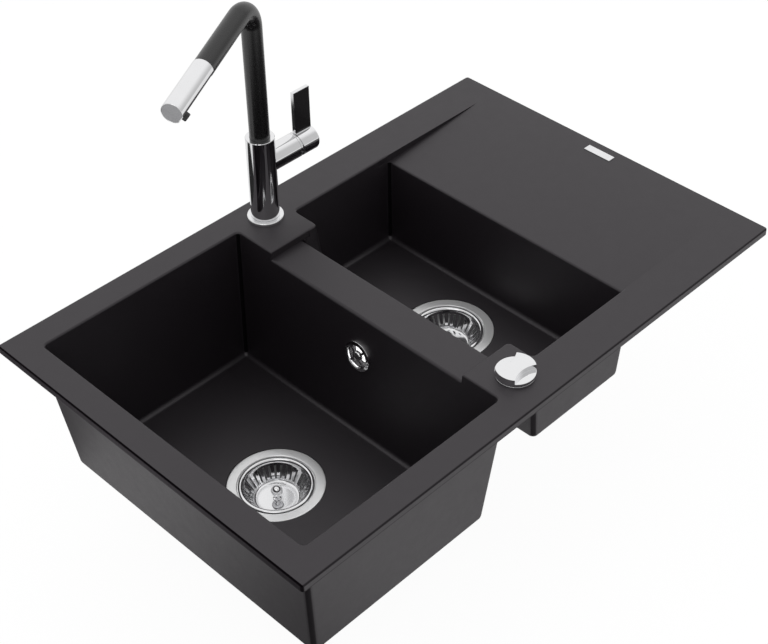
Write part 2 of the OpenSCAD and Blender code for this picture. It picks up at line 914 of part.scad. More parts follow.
module overflow_screw() {
    color([0.78, 0.78, 0.79])
        at_overflow()
            difference() {
                union() {
                    translate([0, 0, rosette_thick - 1.5])
                        cylinder(r = 3.9, h = 1.5);
                    translate([0, 0, -elbow_top - 12])
                        cylinder(r = rosette_screw_r, h = elbow_top + 12 + rosette_thick - 1.5);
                }
                translate([-4, -0.6, rosette_thick - 0.8])
                    cube([8, 1.2, 2]);
            }
}

module overflow_gasket() {
    color([0.1, 0.1, 0.1])
        at_overflow()
            tube(elbow_r, overflow_hole / 2, -elbow_top, -wall);
}

// Cup behind the wall with a boss for the screw and a spout for the hose
module overflow_elbow() {
    spout_r = hose_outer / 2;
    z = deck_thick - overflow_drop;
    color([0.16, 0.16, 0.17])
        difference() {
            union() {
                at_overflow()
                    translate([0, 0, -elbow_top - elbow_deep])
                        cylinder(r = elbow_r, h = elbow_deep);
                translate([hose_x, 0, elbow_low])
                    cylinder(r = spout_r, h = z - elbow_low);
                translate([hose_x, 0, elbow_low - spigot])
                    cylinder(d = hose_bore - 2 * running_gap, h = spigot + 1);
            }
            difference() {
                at_overflow()
                    translate([0, 0, -elbow_top - elbow_deep + plastic_wall])
                        cylinder(r = elbow_r - plastic_wall, h = elbow_deep);
                at_overflow()
                    translate([0, 0, -elbow_top - elbow_deep])
                        cylinder(r = 5, h = elbow_deep);
            }
            translate([hose_x, 0, elbow_low - spigot - 1])
                cylinder(d = hose_bore - 4, h = z - elbow_low + spigot - 3);
            at_overflow()
                translate([0, 0, -elbow_top - 13])
                    cylinder(r = rosette_screw_r + running_gap, h = 14);
        }
}

// Tube through rings of points, each ring holding the same number of points
module skin(rings, closed) {
    n = len(rings[0]);
    m = len(rings);
    turns = closed ? m : m - 1;
    sides = [for (i = [0 : turns - 1]) for (j = [0 : n - 1])
        let (a = i * n + j, b = i * n + (j + 1) % n,
            c = ((i + 1) % m) * n + j, d = ((i + 1) % m) * n + (j + 1) % n)
        each [[a, b, d], [a, d, c]]];
    caps = closed ? [] : [[for (j = [0 : n - 1]) n - 1 - j], [for (j = [0 : n - 1]) (m - 1) * n + j]];
    polyhedron(points = [for (level = rings) each level], faces = concat(sides, caps));
}

// Ring of points about a place on a route, square to the way t that it runs
function round_ring(place, t, up, r, sides) =
    let (u = unit(cross(t, up)), v = cross(u, t))
    [for (j = [0 : sides - 1])
        let (a = 360 * j / sides)
        place + r * (cos(a) * u + sin(a) * v)];

// Place and direction on the overflow hose's route, down, round a bend and along
hose_bend = 34;
hose_drop = elbow_low - hose_z - hose_bend;
hose_run = hose_x - hose_bend - (main_drain_x + body_r + inlet_collar);
hose_arc = hose_bend * PI / 2;
hose_length = hose_drop + hose_arc + hose_run;

function hose_place(s) =
    s < hose_drop ? [hose_x, 0, elbow_low - s]
        : s < hose_drop + hose_arc
            ? let (a = 90 * (s - hose_drop) / hose_arc)
                [hose_x - hose_bend * (1 - cos(a)), 0, hose_z + hose_bend * (1 - sin(a))]
            : [hose_x - hose_bend - (s - hose_drop - hose_arc), 0, hose_z];

function hose_way(s) =
    let (a = min(max(90 * (s - hose_drop) / hose_arc, 0), 90))
    [-sin(a), 0, -cos(a)];

// Ribbed hose between the overflow elbow and the main waste
module overflow_hose() {
    pitch = 5;
    rib = 1.3;
    cuff = hose_outer;
    ribs = floor((hose_length - 2 * cuff) / pitch);
    start = (hose_length - ribs * pitch) / 2;
    stops = concat(
        [0],
        [for (i = [0 : ribs]) each [start + (i - 0.25) * pitch, start + (i + 0.25) * pitch]],
        [hose_length]
    );
    outer = [for (i = [0 : len(stops) - 1])
        round_ring(hose_place(stops[i]), hose_way(stops[i]), [0, 1, 0],
            hose_outer / 2 - (i % 2 == 0 && i > 0 && i < len(stops) - 1 ? rib : 0), 12)];
    inner_stops = [hose_length, for (i = [6 : -1 : 0]) hose_drop + i * hose_arc / 6, 0];
    inner = [for (s = inner_stops)
        round_ring(hose_place(s), hose_way(s), [0, 1, 0], hose_bore / 2 + 0.6, 12)];
    color([0.3, 0.3, 0.31])
        skin(concat(outer, inner), true);
}

// Top of the knob, with two finger bites over a low ledge
module control_knob() {
    low = deck_thick + base_plate + turning_gap;
    high = deck_thick + knob_height;
    knob_r = knob_outer / 2;
    color([0.82, 0.82, 0.83])
        translate([knob_x, knob_y, 0])
            difference() {
                rotate_extrude()
                    polygon([
                        [0, low], [knob_r, low], [knob_r, high - 1], [knob_r - 1, high], [0, high]
                    ]);
                for (side = [-1, 1])
                    translate([0, side * (bite_waist / 2 + bite_radius), deck_thick + bite_ledge])
                        cylinder(r = bite_radius, h = knob_height);
                translate([0, 0, low - 1])
                    cylinder(r = spindle_r + running_gap, h = 5);
            }
}

// Spindle with the disc that winds the cable
module control_spindle() {
    disc_h = 8;
    color([0.7, 0.7, 0.71])
        translate([knob_x, knob_y, 0])
            union() {
                translate([0, 0, housing_low + 4])
                    cylinder(r = spindle_r, h = deck_thick + base_plate + 3 - housing_low - 4);
                translate([0, 0, housing_low + 4])
                    cylinder(r = pulley_r, h = disc_h);
            }
}

// Base plate under the knob with a threaded stem through the deck
module control_base() {
    color([0.78, 0.78, 0.79])
        translate([knob_x, knob_y, 0])
            difference() {
                union() {
                    translate([0, 0, deck_thick])
                        cylinder(d = knob_outer, h = base_plate);
                    translate([0, 0, stem_low])
                        cylinder(r = stem_r, h = deck_thick - stem_low + 1);
                }
                translate([0, 0, stem_low - 1])
                    cylinder(r = spindle_r + running_gap, h = deck_thick + base_plate - stem_low + 2);
            }
}

module control_gasket() {
    color([0.1, 0.1, 0.1])
        translate([knob_x, knob_y, 0])
            tube(nut_r, stem_r, -2, 0);
}

module control_nut() {
    color([0.2, 0.2, 0.2])
        translate([knob_x, knob_y, -nut_thick - 2])
            difference() {
                cylinder(r = nut_r, h = nut_thick, $fn = 6);
                translate([0, 0, -1])
                    cylinder(r = stem_r, h = nut_thick + 2);
            }
}

// Drum under the stem where the spindle's disc winds the cable
module control_housing() {
    drum_r = pulley_r + 1.5 + plastic_wall;
    color([0.14, 0.14, 0.15])
        translate([knob_x, knob_y, 0])
            difference() {
                union() {
                    translate([0, 0, housing_low])
                        cylinder(r = drum_r, h = stem_low - housing_low);
                    translate([0, drum_r - 2, cable_z])
                        rotate([-90, 0, 0])
                            cylinder(r = ferrule_r, h = ferrule_h + 2);
                }
                translate([0, 0, housing_low + plastic_wall])
                    cylinder(r = drum_r - plastic_wall, h = stem_low - housing_low);
            }
}

// Route of the cable from the knob's drum to the crank's cover, by hand
cable_from = [knob_x, knob_y + pulley_r + 1.5 + plastic_wall + ferrule_h, cable_z];
cable_to = [
    main_drain_x + crank_x + cover_r + ferrule_h,
    -boss_outer - cover_deep / 2,
    main_floor + crank_z
];
cable_span = cable_to - cable_from;
cable_shares = [
    [0.007, 0.221, -0], [0.053, 0.411, 0.153], [0.093, 0.567, 0.399], [0.133, 0.714, 0.672],
    [0.226, 0.844, 0.874], [0.44, 0.948, 0.973], [0.706, 0.991, 1]
];
cable_route = [
    cable_from - [0, 10, 0], cable_from,
    for (share = cable_shares) [for (i = [0 : 2]) cable_from[i] + share[i] * cable_span[i]],
    cable_to, cable_to - [10, 0, 0]
];

function spline(a, b, c, d, t) =
    0.5 * (2 * b + (c - a) * t + (2 * a - 5 * b + 4 * c - d) * t * t
        + (3 * b - a - 3 * c + d) * t * t * t);

module control_cable() {
    steps = 4;
    last = len(cable_route) - 3;
    places = concat(
        [for (i = [1 : last]) for (k = [0 : steps - 1])
            spline(cable_route[i - 1], cable_route[i], cable_route[i + 1], cable_route[i + 2],
                k / steps)],
        [cable_to]
    );
    n = len(places);
    rings = [for (i = [0 : n - 1])
        let (way = i == 0 ? [0, 1, 0]
            : i == n - 1 ? [-1, 0, 0]
            : unit(places[i + 1] - places[i - 1]))
        round_ring(places[i], way, [1, 0, -1], cable_d / 2, 8)];
    color([0.09, 0.09, 0.1])
        skin(rings, false);
}

module at_tap() {
    translate([tap_x, tap_y, 0])
        children();
}

// Places children on the spout's arm, with +Z along it and +X downwards
module at_arm() {
    translate([tap_x, tap_y, spout_top])
        rotate([0, 0, arm_turn])
            rotate([0, 90 + arm_pitch, 0])
                children();
}

// Places children on the lever's axis, with +Z along it
module at_lever() {
    translate([tap_x, tap_y, lever_height])
        rotate([0, 90, 0])
            children();
}

module tap_base_ring() {
    r = base_outer / 2;
    color([0.85, 0.85, 0.86])
        at_tap()
            rotate_extrude()
                polygon([
                    [shank_r, deck_thick], [r, deck_thick], [r, body_low - 1],
                    [r - 1, body_low], [shank_r, body_low]
                ]);
}

// Chrome body with its side housing, bored for the shank, the cartridge and the spout
module tap_body() {
    body_r0 = body_outer / 2;
    body_top = deck_thick + body_height;
    edge = 0.8;
    color([0.82, 0.82, 0.83])
        difference() {
            union() {
                at_tap()
                    rotate_extrude()
                        polygon([
                            [0, body_low], [body_r0, body_low], [body_r0, body_top - edge],
                            [body_r0 - edge, body_top], [0, body_top]
                        ]);
                at_lever()
                    rotate_extrude()
                        polygon([
                            [0, 0], [side_outer / 2, 0], [side_outer / 2, side_reach - edge],
                            [side_outer / 2 - edge, side_reach], [0, side_reach]
                        ]);
            }
            at_tap()
                translate([0, 0, spout_low])
                    cylinder(r = bush_r + running_gap, h = collar_low - spout_low);
            at_tap()
                translate([0, 0, collar_low - 1])
                    cylinder(r = spout_outer / 2 + running_gap, h = body_top - collar_low + 2);
            at_tap()
                translate([0, 0, lever_height])
                    cylinder(r = water_r, h = spout_low - lever_height + 1);
            at_lever()
                translate([0, 0, cartridge_low])
                    cylinder(r = cartridge_r + running_gap, h = side_reach);
            at_tap()
                translate([0, 0, body_low - 1])
                    cylinder(r = shank_r, h = shank_grip + 1);
            for (side = [-1, 1])
                at_tap()
                    translate([side * inlet_x, inlet_y, body_low])
                        cylinder(r = inlet_r, h = shank_grip + inlet_deep);
            at_tap()
                translate([0, hose_hole_y, body_low])
                    cylinder(r = inlet_r, h = lever_height - body_low);
        }
}

// Threaded shank through the deck
module tap_shank() {
    color([0.7, 0.62, 0.4])
        at_tap()
            tube(shank_r, shank_bore, shank_low, body_low + shank_grip);
}

module tap_gasket() {
    color([0.1, 0.1, 0.1])
        at_tap()
            tube(nut_r, shank_r, -3, 0);
}

module tap_washer() {
    color([0.7, 0.7, 0.71])
        at_tap()
            tube(nut_r, shank_r, -5, -3);
}

module tap_nut() {
    color([0.7, 0.62, 0.4])
        at_tap()
            translate([0, 0, -5 - nut_thick])
                difference() {
                    cylinder(r = nut_r, h = nut_thick, $fn = 6);
                    translate([0, 0, -1])
                        cylinder(r = shank_r, h = nut_thick + 2);
                }
}

// Plastic bearing that the spout turns in, fixed on the spout's lower end
module spout_bush() {
    color([0.9, 0.9, 0.88])
        at_tap()
            tube(bush_r, spout_outer / 2, spout_low + 1, collar_low - 0.3);
}

// Place and direction on the spout's axis, up, round the bend and along the arm
spout_bend = 90 + arm_pitch;
spout_reach = bend_radius * tan(spout_bend / 2);
arm_way = [cos(arm_turn) * cos(arm_pitch), sin(arm_turn) * cos(arm_pitch), -sin(arm_pitch)];

function spout_place(a) =
    let (out = bend_radius * (1 - cos(a)), z = spout_top - spout_reach + bend_radius * sin(a))
    [tap_x + out * cos(arm_turn), tap_y + out * sin(arm_turn), z];

function spout_way(a) = [sin(a) * cos(arm_turn), sin(a) * sin(arm_turn), cos(a)];

function spout_rings(r) =
    let (side = [-sin(arm_turn), cos(arm_turn), 0])
    concat(
        [round_ring([tap_x, tap_y, spout_low + 1], [0, 0, 1], side, r, spout_sides)],
        [for (i = [0 : spout_steps])
            let (a = spout_bend * i / spout_steps)
            round_ring(spout_place(a), spout_way(a), side, r, spout_sides)],
        [round_ring([tap_x, tap_y, spout_top] + arm_length * arm_way, arm_way, side, r, spout_sides)]
    );

// Upright tube, bend and arm in one bored piece
module spout_tube() {
    bore = spout_rings(spout_bore / 2);
    color([0.1, 0.1, 0.11])
        skin(concat(spout_rings(spout_outer / 2), [for (i = [len(bore) - 1 : -1 : 0]) bore[i]]), true);
}

// Hose end inside the arm, with the spigot that the spray head turns on
module spray_hose() {
    color([0.25, 0.25, 0.26])
        at_arm()
            difference() {
                union() {
                    translate([0, 0, arm_length - stub_length])
                        cylinder(r = stub_r, h = stub_length);
                    translate([0, 0, arm_length - guide_length])
                        cylinder(r = spout_bore / 2 - guide_gap, h = guide_length);
                    translate([0, 0, arm_length - 1])
                        cylinder(r = spigot_r, h = spigot_length + 1);
                }
                translate([0, 0, arm_length - stub_length - 1])
                    cylinder(r = stub_r - 2, h = stub_length + spigot_length + 2);
            }
}

// Chrome sleeve with a flat along it for the strip and a hole for the nozzle
module spray_head() {
    head_r = head_outer / 2;
    color([0.85, 0.85, 0.86])
        at_arm()
            difference() {
                translate([0, 0, arm_length + turning_gap])
                    cylinder(r = head_r, h = head_length - turning_gap - cap_thick);
                translate([0, 0, arm_length])
                    cylinder(r = spigot_r + running_gap, h = spigot_length + 1);
                translate([0, 0, arm_length + spigot_length])
                    cylinder(r = head_r - head_wall, h = head_length);
                rotate([0, 0, flat_roll])
                    translate([flat_r - strip_thick, -head_r, arm_length - 1])
                        cube([head_r, 2 * head_r, head_length + 2]);
                rotate([0, 0, flat_roll])
                    translate([0, 0, arm_length + head_length - nozzle_back])
                        rotate([0, 90, 0])
                            cylinder(d = nozzle_outer, h = head_r + 1);
            }
}

// Black strip that fills the head's flat
module spray_strip() {
    color([0.06, 0.06, 0.06])
        at_arm()
            rotate([0, 0, flat_roll])
                difference() {
                    translate([flat_r - strip_thick, -strip_half, arm_length + turning_gap])
                        cube([strip_thick, 2 * strip_half, head_length - turning_gap - cap_thick]);
                    translate([0, 0, arm_length + head_length - nozzle_back])
                        rotate([0, 90, 0])
                            cylinder(d = nozzle_outer, h = head_outer);
                }
}

module spray_cap() {
    head_r = head_outer / 2;
    color([0.8, 0.8, 0.81])
        at_arm()
            intersection() {
                union() {
                    translate([0, 0, arm_length + head_length - cap_thick])
                        cylinder(r = head_r, h = cap_thick);
                    translate([0, 0, arm_length + head_length - cap_thick - 1.2])
                        cylinder(r = head_r - head_wall - running_gap, h = 2);
                }
                rotate([0, 0, flat_roll])
                    translate([-head_outer, -head_outer, arm_length])
                        cube([head_outer + flat_r, 2 * head_outer, head_length + 1]);
            }
}

// Black nozzle through the strip, bored for the water
module spray_nozzle() {
    color([0.05, 0.05, 0.05])
        at_arm()
            rotate([0, 0, flat_roll])
                translate([0, 0, arm_length + head_length - nozzle_back])
                    rotate([0, 90, 0])
                        difference() {
                            translate([0, 0, nozzle_in])
                                cylinder(d = nozzle_outer, h = flat_r + nozzle_out - nozzle_in);
                            translate([0, 0, nozzle_in - 1])
                                cylinder(d = nozzle_outer - 3, h = flat_r + nozzle_out);
                        }
}

// Mixing cartridge in the side housing, bored for its rotor
module tap_cartridge() {
    rotor_low = pivot_x - rotor_back;
    color([0.85, 0.85, 0.82])
        at_lever()
            difference() {
                translate([0, 0, cartridge_low])
                    cylinder(r = cartridge_r, h = nut_from - cartridge_low);
                translate([0, 0, rotor_low - turning_gap])
                    cylinder(r = rotor_r + running_gap, h = side_reach);
            }
}

module cartridge_nut() {
    color([0.7, 0.62, 0.4])
        at_lever()
            tube(cartridge_r, rotor_r + 0.4, nut_from, side_reach);
}

// Sleeve that turns with the lever, with the pin that the stem tilts on
module cartridge_rotor() {
    color([0.88, 0.88, 0.86])
        at_lever()
            union() {
                tube(rotor_r, rotor_bore, pivot_x - rotor_back, pivot_x + rotor_front);
                translate([0, 0, pivot_x])
                    rotate([90, 0, 0])
                        cylinder(r = pivot_pin_r, h = 2 * rotor_bore + 1, center = true);
            }
}

// Trim ring with a ball-shaped dome under the lever's hub
module lever_dome() {
    color([0.83, 0.83, 0.84])
        at_lever()
            difference() {
                union() {
                    translate([0, 0, side_reach])
                        cylinder(d = side_outer, h = pivot_x - side_reach);
                    intersection() {
                        translate([0, 0, pivot_x])
                            sphere(r = dome_r);
                        translate([0, 0, pivot_x - 1])
                            cylinder(r = dome_r, h = dome_r + 2);
                    }
                }
                translate([0, 0, pivot_x])
                    sphere(r = dome_r - 2);
                translate([0, 0, side_reach - 1])
                    cylinder(r = rotor_r + 0.5, h = dome_r + 10);
            }
}

// Stem from the rotor's pin to the hub
module lever_stem() {
    color([0.75, 0.68, 0.45])
        at_lever()
            difference() {
                translate([0, 0, pivot_x - stem_back])
                    cylinder(r = lever_stem_r, h = stem_back + stem_front);
                translate([0, 0, pivot_x])
                    rotate([90, 0, 0])
                        cylinder(r = pivot_pin_r + running_gap, h = 4 * lever_stem_r, center = true);
            }
}

// Hub over the dome, with the upright blade and its two shallow pockets
module lever_hub() {
    hub_r0 = side_outer / 2 - 0.1;
    edge = 3;
    top = lever_height + blade_height;
    color([0.84, 0.84, 0.85])
        difference() {
            union() {
                at_lever()
                    difference() {
                        rotate_extrude()
                            polygon(concat(
                                [[0, pivot_x], [hub_r0, pivot_x]],
                                [for (i = [0 : 6])
                                    [hub_r0 - edge + edge * cos(15 * i),
                                        hub_reach - edge + edge * sin(15 * i)]],
                                [[0, hub_reach]]
                            ));
                        translate([0, 0, pivot_x])
                            sphere(r = dome_r + turning_gap);
                    }
                blade();
            }
            at_lever()
                translate([0, 0, pivot_x])
                    cylinder(r = lever_stem_r + running_gap, h = stem_front + 0.5);
            hub_bevel(hub_r0);
            for (side = [-1, 1])
                blade_pocket(side);
            translate([tap_x + grub_x, tap_y, lever_height - side_outer])
                cylinder(r = grub_r, h = side_outer - lever_stem_r + 1);
        }
}

// Slanted cut of the hub's near end, which leaves room for the lever's tilt
module hub_bevel(hub_r0) {
    low_gap = (turning_gap + hub_r0 * sin(flow_angle)) / cos(flow_angle);
    translate([tap_x + pivot_x, tap_y + side_outer, lever_height])
        rotate([90, 0, 0])
            linear_extrude(2 * side_outer)
                polygon([
                    [-side_outer, side_outer], [turning_gap - 2, hub_r0 + 2],
                    [turning_gap, hub_r0], [low_gap, -hub_r0],
                    [low_gap + 1, -side_outer], [-side_outer, -side_outer]
                ]);
}

blade_x0 = blade_from;
blade_x1 = blade_from + blade_width;

module blade() {
    foot = side_outer / 2 + 0.4;
    root = 1.2;
    translate([tap_x, tap_y + blade_thick / 2, lever_height])
        rotate([90, 0, 0])
            linear_extrude(blade_thick)
                polygon([
                    [blade_x0, foot], [pivot_x + 1, foot], [pivot_x + 1, foot - root],
                    [blade_x1, foot - root], [blade_x1, blade_height], [blade_x0, blade_height]
                ]);
}

module blade_pocket(side) {
    translate([
        tap_x + blade_x0 + inlay_rim,
        tap_y + (side > 0 ? blade_thick / 2 - inlay_thick : -blade_thick / 2 - 1),
        lever_height + side_outer / 2 + inlay_rim
    ])
        cube([
            blade_width - 2 * inlay_rim,
            inlay_thick + 1,
            blade_height - side_outer / 2 - 2 * inlay_rim
        ]);
}

// Black plates set into both faces of the blade
module lever_inlay() {
    color([0.06, 0.06, 0.06])
        for (side = [-1, 1])
            translate([
                tap_x + blade_x0 + inlay_rim,
                tap_y + (side > 0 ? blade_thick / 2 - inlay_thick : -blade_thick / 2),
                lever_height + side_outer / 2 + inlay_rim
            ])
                cube([
                    blade_width - 2 * inlay_rim,
                    inlay_thick,
                    blade_height - side_outer / 2 - 2 * inlay_rim
                ]);
}

module lever_grub_screw() {
    color([0.3, 0.3, 0.31])
        translate([tap_x + grub_x, tap_y, lever_height - lever_stem_r - grub_length])
            difference() {
                cylinder(r = grub_r - running_gap, h = grub_length);
                translate([0, 0, -1])
                    cylinder(r = 1, h = 3, $fn = 6);
            }
}

sink_casting();
rim_seal();
badge_plate();
main_waste_flange();
main_waste_gasket();
main_waste_body();
main_tie_screw();
main_basket();
main_basket_post();
main_basket_seal();
lift_pin();
lift_crank();
crank_cover();
half_waste_flange();
half_waste_gasket();
half_waste_body();
half_tie_screw();
half_basket();
half_basket_post();
half_basket_seal();
overflow_rosette();
overflow_screw();
overflow_gasket();
overflow_elbow();
overflow_hose();
control_knob();
control_spindle();
control_base();
control_gasket();
control_nut();
control_housing();
control_cable();
tap_base_ring();
tap_body();
tap_shank();
tap_gasket();
tap_washer();
tap_nut();
spout_bush();
spout_tube();
spray_hose();
spray_head();
spray_strip();
spray_cap();
spray_nozzle();
tap_cartridge();
cartridge_nut();
cartridge_rotor();
lever_dome();
lever_stem();
lever_hub();
lever_inlay();
lever_grub_screw();
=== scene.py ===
import math
import bpy
from bpy.props import FloatProperty, FloatVectorProperty, IntProperty, PointerProperty
from mathutils import Matrix, Vector


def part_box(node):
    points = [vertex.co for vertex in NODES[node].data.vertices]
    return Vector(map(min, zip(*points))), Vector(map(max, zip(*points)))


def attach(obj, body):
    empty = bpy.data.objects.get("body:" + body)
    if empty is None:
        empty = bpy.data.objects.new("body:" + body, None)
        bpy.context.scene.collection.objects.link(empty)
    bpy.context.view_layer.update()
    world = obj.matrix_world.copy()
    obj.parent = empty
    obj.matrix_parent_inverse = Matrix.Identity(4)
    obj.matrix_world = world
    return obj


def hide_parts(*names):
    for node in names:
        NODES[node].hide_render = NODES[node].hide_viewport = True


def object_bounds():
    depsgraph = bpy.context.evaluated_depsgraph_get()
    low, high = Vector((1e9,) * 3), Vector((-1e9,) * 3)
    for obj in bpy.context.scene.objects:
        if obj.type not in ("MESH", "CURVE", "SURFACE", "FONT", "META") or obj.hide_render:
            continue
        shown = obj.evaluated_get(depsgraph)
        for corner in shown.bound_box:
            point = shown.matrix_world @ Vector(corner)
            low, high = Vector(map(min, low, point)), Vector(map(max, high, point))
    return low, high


bl_info = {
    "name": "Composite sink with pull-out tap",
    "version": (1, 0, 0),
    "blender": (4, 5, 0),
    "location": "3D View > Sidebar > Sink",
    "description": "Dresses the sink's solids and sets up the studio round them",
    "category": "Object",
}

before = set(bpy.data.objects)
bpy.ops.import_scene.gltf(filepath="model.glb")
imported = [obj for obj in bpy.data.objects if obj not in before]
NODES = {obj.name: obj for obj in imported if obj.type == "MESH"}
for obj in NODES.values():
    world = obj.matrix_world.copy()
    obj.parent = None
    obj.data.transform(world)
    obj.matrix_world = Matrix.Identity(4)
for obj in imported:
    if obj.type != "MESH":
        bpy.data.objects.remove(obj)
CAD_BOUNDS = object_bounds()

# Places and lengths in mm, which MM turns to metres

MM = 0.001
DECK_TOP = 10
MAIN_FLOOR = -170
HALF_FLOOR = -114
MAIN_DRAIN = (-210.85, 0, MAIN_FLOOR)
HALF_DRAIN = (83.4, 0, HALF_FLOOR)
TAP = (-21.2, 213.5)
KNOB = (-24, -202)
LEVER_HEIGHT = 91
SPOUT_TOP = 316
SPOUT_LOW = 107.5
ARM_TURN = math.radians(-155)
ARM_PITCH = math.radians(6.5)
ARM_LENGTH = 128.5
BEND_RADIUS = 30
FLAT_ROLL = math.radians(54)
MAIN_RIGHT_WALL = -65.3
WALL_LEAN = 16.7 / 180
OVERFLOW_DEPTH = 67
HOSE_TOP = (-48, 0, -85)
HOSE_DROP = 82
HOSE_BEND = 34
HOSE_RUN = 71.35
CABLE_ROUTE = [
    (-24, -187.5, -42), (-24, -177.5, -42), (-25.1, -152, -42), (-32, -130, -70),
    (-38, -112, -115), (-44, -95, -165), (-57.9, -80, -201.9), (-90.1, -68, -220.1),
    (-130, -63, -225), (-174.1, -62, -225), (-184.1, -62, -225),
]


def at(x, y, z):
    return Matrix.Translation(Vector((x, y, z)) * MM)


def turn(angle, axis):
    return Matrix.Rotation(angle, 4, axis)


AT_MAIN = at(*MAIN_DRAIN)
AT_HALF = at(*HALF_DRAIN)
AT_TAP = at(*TAP, 0)
AT_KNOB = at(*KNOB, DECK_TOP)
AT_ARM = at(*TAP, SPOUT_TOP) @ turn(ARM_TURN, "Z") @ turn(math.pi / 2 + ARM_PITCH, "Y")
AT_FLAT = AT_ARM @ turn(FLAT_ROLL, "Z")
AT_OVERFLOW = (
    at(MAIN_RIGHT_WALL - OVERFLOW_DEPTH * WALL_LEAN, 0, DECK_TOP - OVERFLOW_DEPTH)
    @ turn(-math.pi / 2 + math.atan(WALL_LEAN), "Y"))


# Sizes and colours that a user would change


class SinkColours(bpy.types.PropertyGroup):
    composite: FloatVectorProperty(
        name="Composite", description="Colour of the cast granite composite",
        subtype="COLOR", size=3, min=0, max=1, default=(0.0085, 0.0062, 0.0085))
    composite_grain: FloatProperty(
        name="Grain", description="Size of the composite's grains",
        unit="LENGTH", subtype="DISTANCE", min=0.0003, max=0.005, default=0.0011)
    chrome: FloatVectorProperty(
        name="Chrome", description="Colour of the chromed parts",
        subtype="COLOR", size=3, min=0, max=1, default=(0.86, 0.86, 0.87))
    steel: FloatVectorProperty(
        name="Steel", description="Colour of the wastes' stainless steel",
        subtype="COLOR", size=3, min=0, max=1, default=(0.84, 0.84, 0.85))
    spout: FloatVectorProperty(
        name="Spout", description="Colour of the spout's satin coating",
        subtype="COLOR", size=3, min=0, max=1, default=(0.005, 0.0047, 0.005))
    inlay: FloatVectorProperty(
        name="Lever plates", description="Colour of the plates in the lever's blade",
        subtype="COLOR", size=3, min=0, max=1, default=(0.018, 0.017, 0.018))


class WasteSizes(bpy.types.PropertyGroup):
    slots: IntProperty(
        name="Slots", description="Number of slots in a basket's wall",
        min=16, max=36, default=32)
    ball: FloatProperty(
        name="Ball", description="Diameter of the ball that a basket is lifted by",
        unit="LENGTH", subtype="DISTANCE", min=0.012, max=0.015, default=0.014)
    sheet: FloatProperty(
        name="Sheet", description="Thickness of a basket's steel",
        unit="LENGTH", subtype="DISTANCE", min=0.0006, max=0.001, default=0.0009)


class TapSizes(bpy.types.PropertyGroup):
    arris: FloatProperty(
        name="Arris", description="Width of the bevel on the chrome parts' edges",
        unit="LENGTH", subtype="DISTANCE", min=0.0002, max=0.001, default=0.0005)
    bend_steps: IntProperty(
        name="Bend steps", description="Number of rings in the spout's bend",
        min=12, max=48, default=28)


class StudioLight(bpy.types.PropertyGroup):
    room: FloatProperty(
        name="Room", description="Strength of the even light all round",
        min=0, max=2, default=0.95)
    far_side: FloatProperty(
        name="Far side", description="Share of the room's light that comes from behind the camera",
        min=0, max=1, default=0.62)
    lamp: FloatProperty(
        name="Soft box", description="Power of the large soft box",
        subtype="POWER", min=0, max=100, default=3)


GROUPS = {
    "sink_colours": SinkColours,
    "waste_sizes": WasteSizes,
    "tap_sizes": TapSizes,
    "studio_light": StudioLight,
}


# Modelling, as by hand


def clear():
    bpy.ops.object.select_all(action="DESELECT")


def only(obj):
    clear()
    obj.select_set(True)
    bpy.context.view_layer.objects.active = obj


def turned(name, stations, sides=96, section=False):
    """Extrudes and scales a ring of edges through stations of radius and height in mm."""
    clear()
    radius, height = stations[0]
    bpy.ops.mesh.primitive_circle_add(
        vertices=sides, radius=radius * MM, location=(0, 0, height * MM), enter_editmode=True)
    obj = bpy.context.object
    obj.name = name
    bpy.ops.mesh.select_mode(type="EDGE")
    bpy.ops.mesh.select_all(action="SELECT")
    if not section:
        bpy.ops.mesh.edge_face_add()
        bpy.ops.mesh.select_all(action="SELECT")
        bpy.ops.mesh.duplicate()
        bpy.ops.mesh.delete(type="ONLY_FACE")
        bpy.ops.mesh.select_all(action="DESELECT")
        bpy.ops.object.mode_set(mode="OBJECT")
        for edge in obj.data.edges:
            edge.select = edge.index >= sides
        bpy.ops.object.mode_set(mode="EDIT")
    for next_radius, next_height in stations[1:]:
        bpy.ops.mesh.extrude_edges_move(
            TRANSFORM_OT_translate={"value": (0, 0, (next_height - height) * MM)})
        if next_radius == 0:
            bpy.ops.mesh.merge(type="CENTER")
        else:
            bpy.ops.transform.resize(
                value=(next_radius / radius, next_radius / radius, 1),
                center_override=(0, 0, next_height * MM))
        radius, height = next_radius, next_height
    if radius and not section:
        bpy.ops.mesh.edge_face_add()
    bpy.ops.mesh.select_all(action="SELECT")
    bpy.ops.mesh.remove_doubles(threshold=0.00001)
    bpy.ops.mesh.normals_make_consistent(inside=False)
    bpy.ops.object.mode_set(mode="OBJECT")
    bpy.ops.object.transform_apply(location=True, rotation=True, scale=True)
    return obj


def block(name, low, high):
    """A box between two corners in mm, to be cut or bevelled further."""
    clear()
    low, high = Vector(low), Vector(high)
    bpy.ops.mesh.primitive_cube_add(
        size=1, location=(low + high) / 2 * MM, scale=(high - low) * MM)
    obj = bpy.context.object
    obj.name = name
    bpy.ops.object.transform_apply(location=True, rotation=True, scale=True)
    return obj


def moved(obj, matrix):
    obj.matrix_world = matrix @ obj.matrix_world
    only(obj)
    bpy.ops.object.transform_apply(location=True, rotation=True, scale=True)
    return obj


def applied(obj, kind, **settings):
    only(obj)
    modifier = obj.modifiers.new(kind.title(), kind)
    for key, value in settings.items():
        setattr(modifier, key, value)
    bpy.ops.object.modifier_apply(modifier=modifier.name)
    return obj


def combined(obj, tools, operation="DIFFERENCE"):
    """Joins the tools into the piece, or cuts them out of it, and removes them."""
    for tool in tools:
        applied(obj, "BOOLEAN", operation=operation, object=tool, solver="EXACT")
        bpy.data.objects.remove(tool)
    return obj


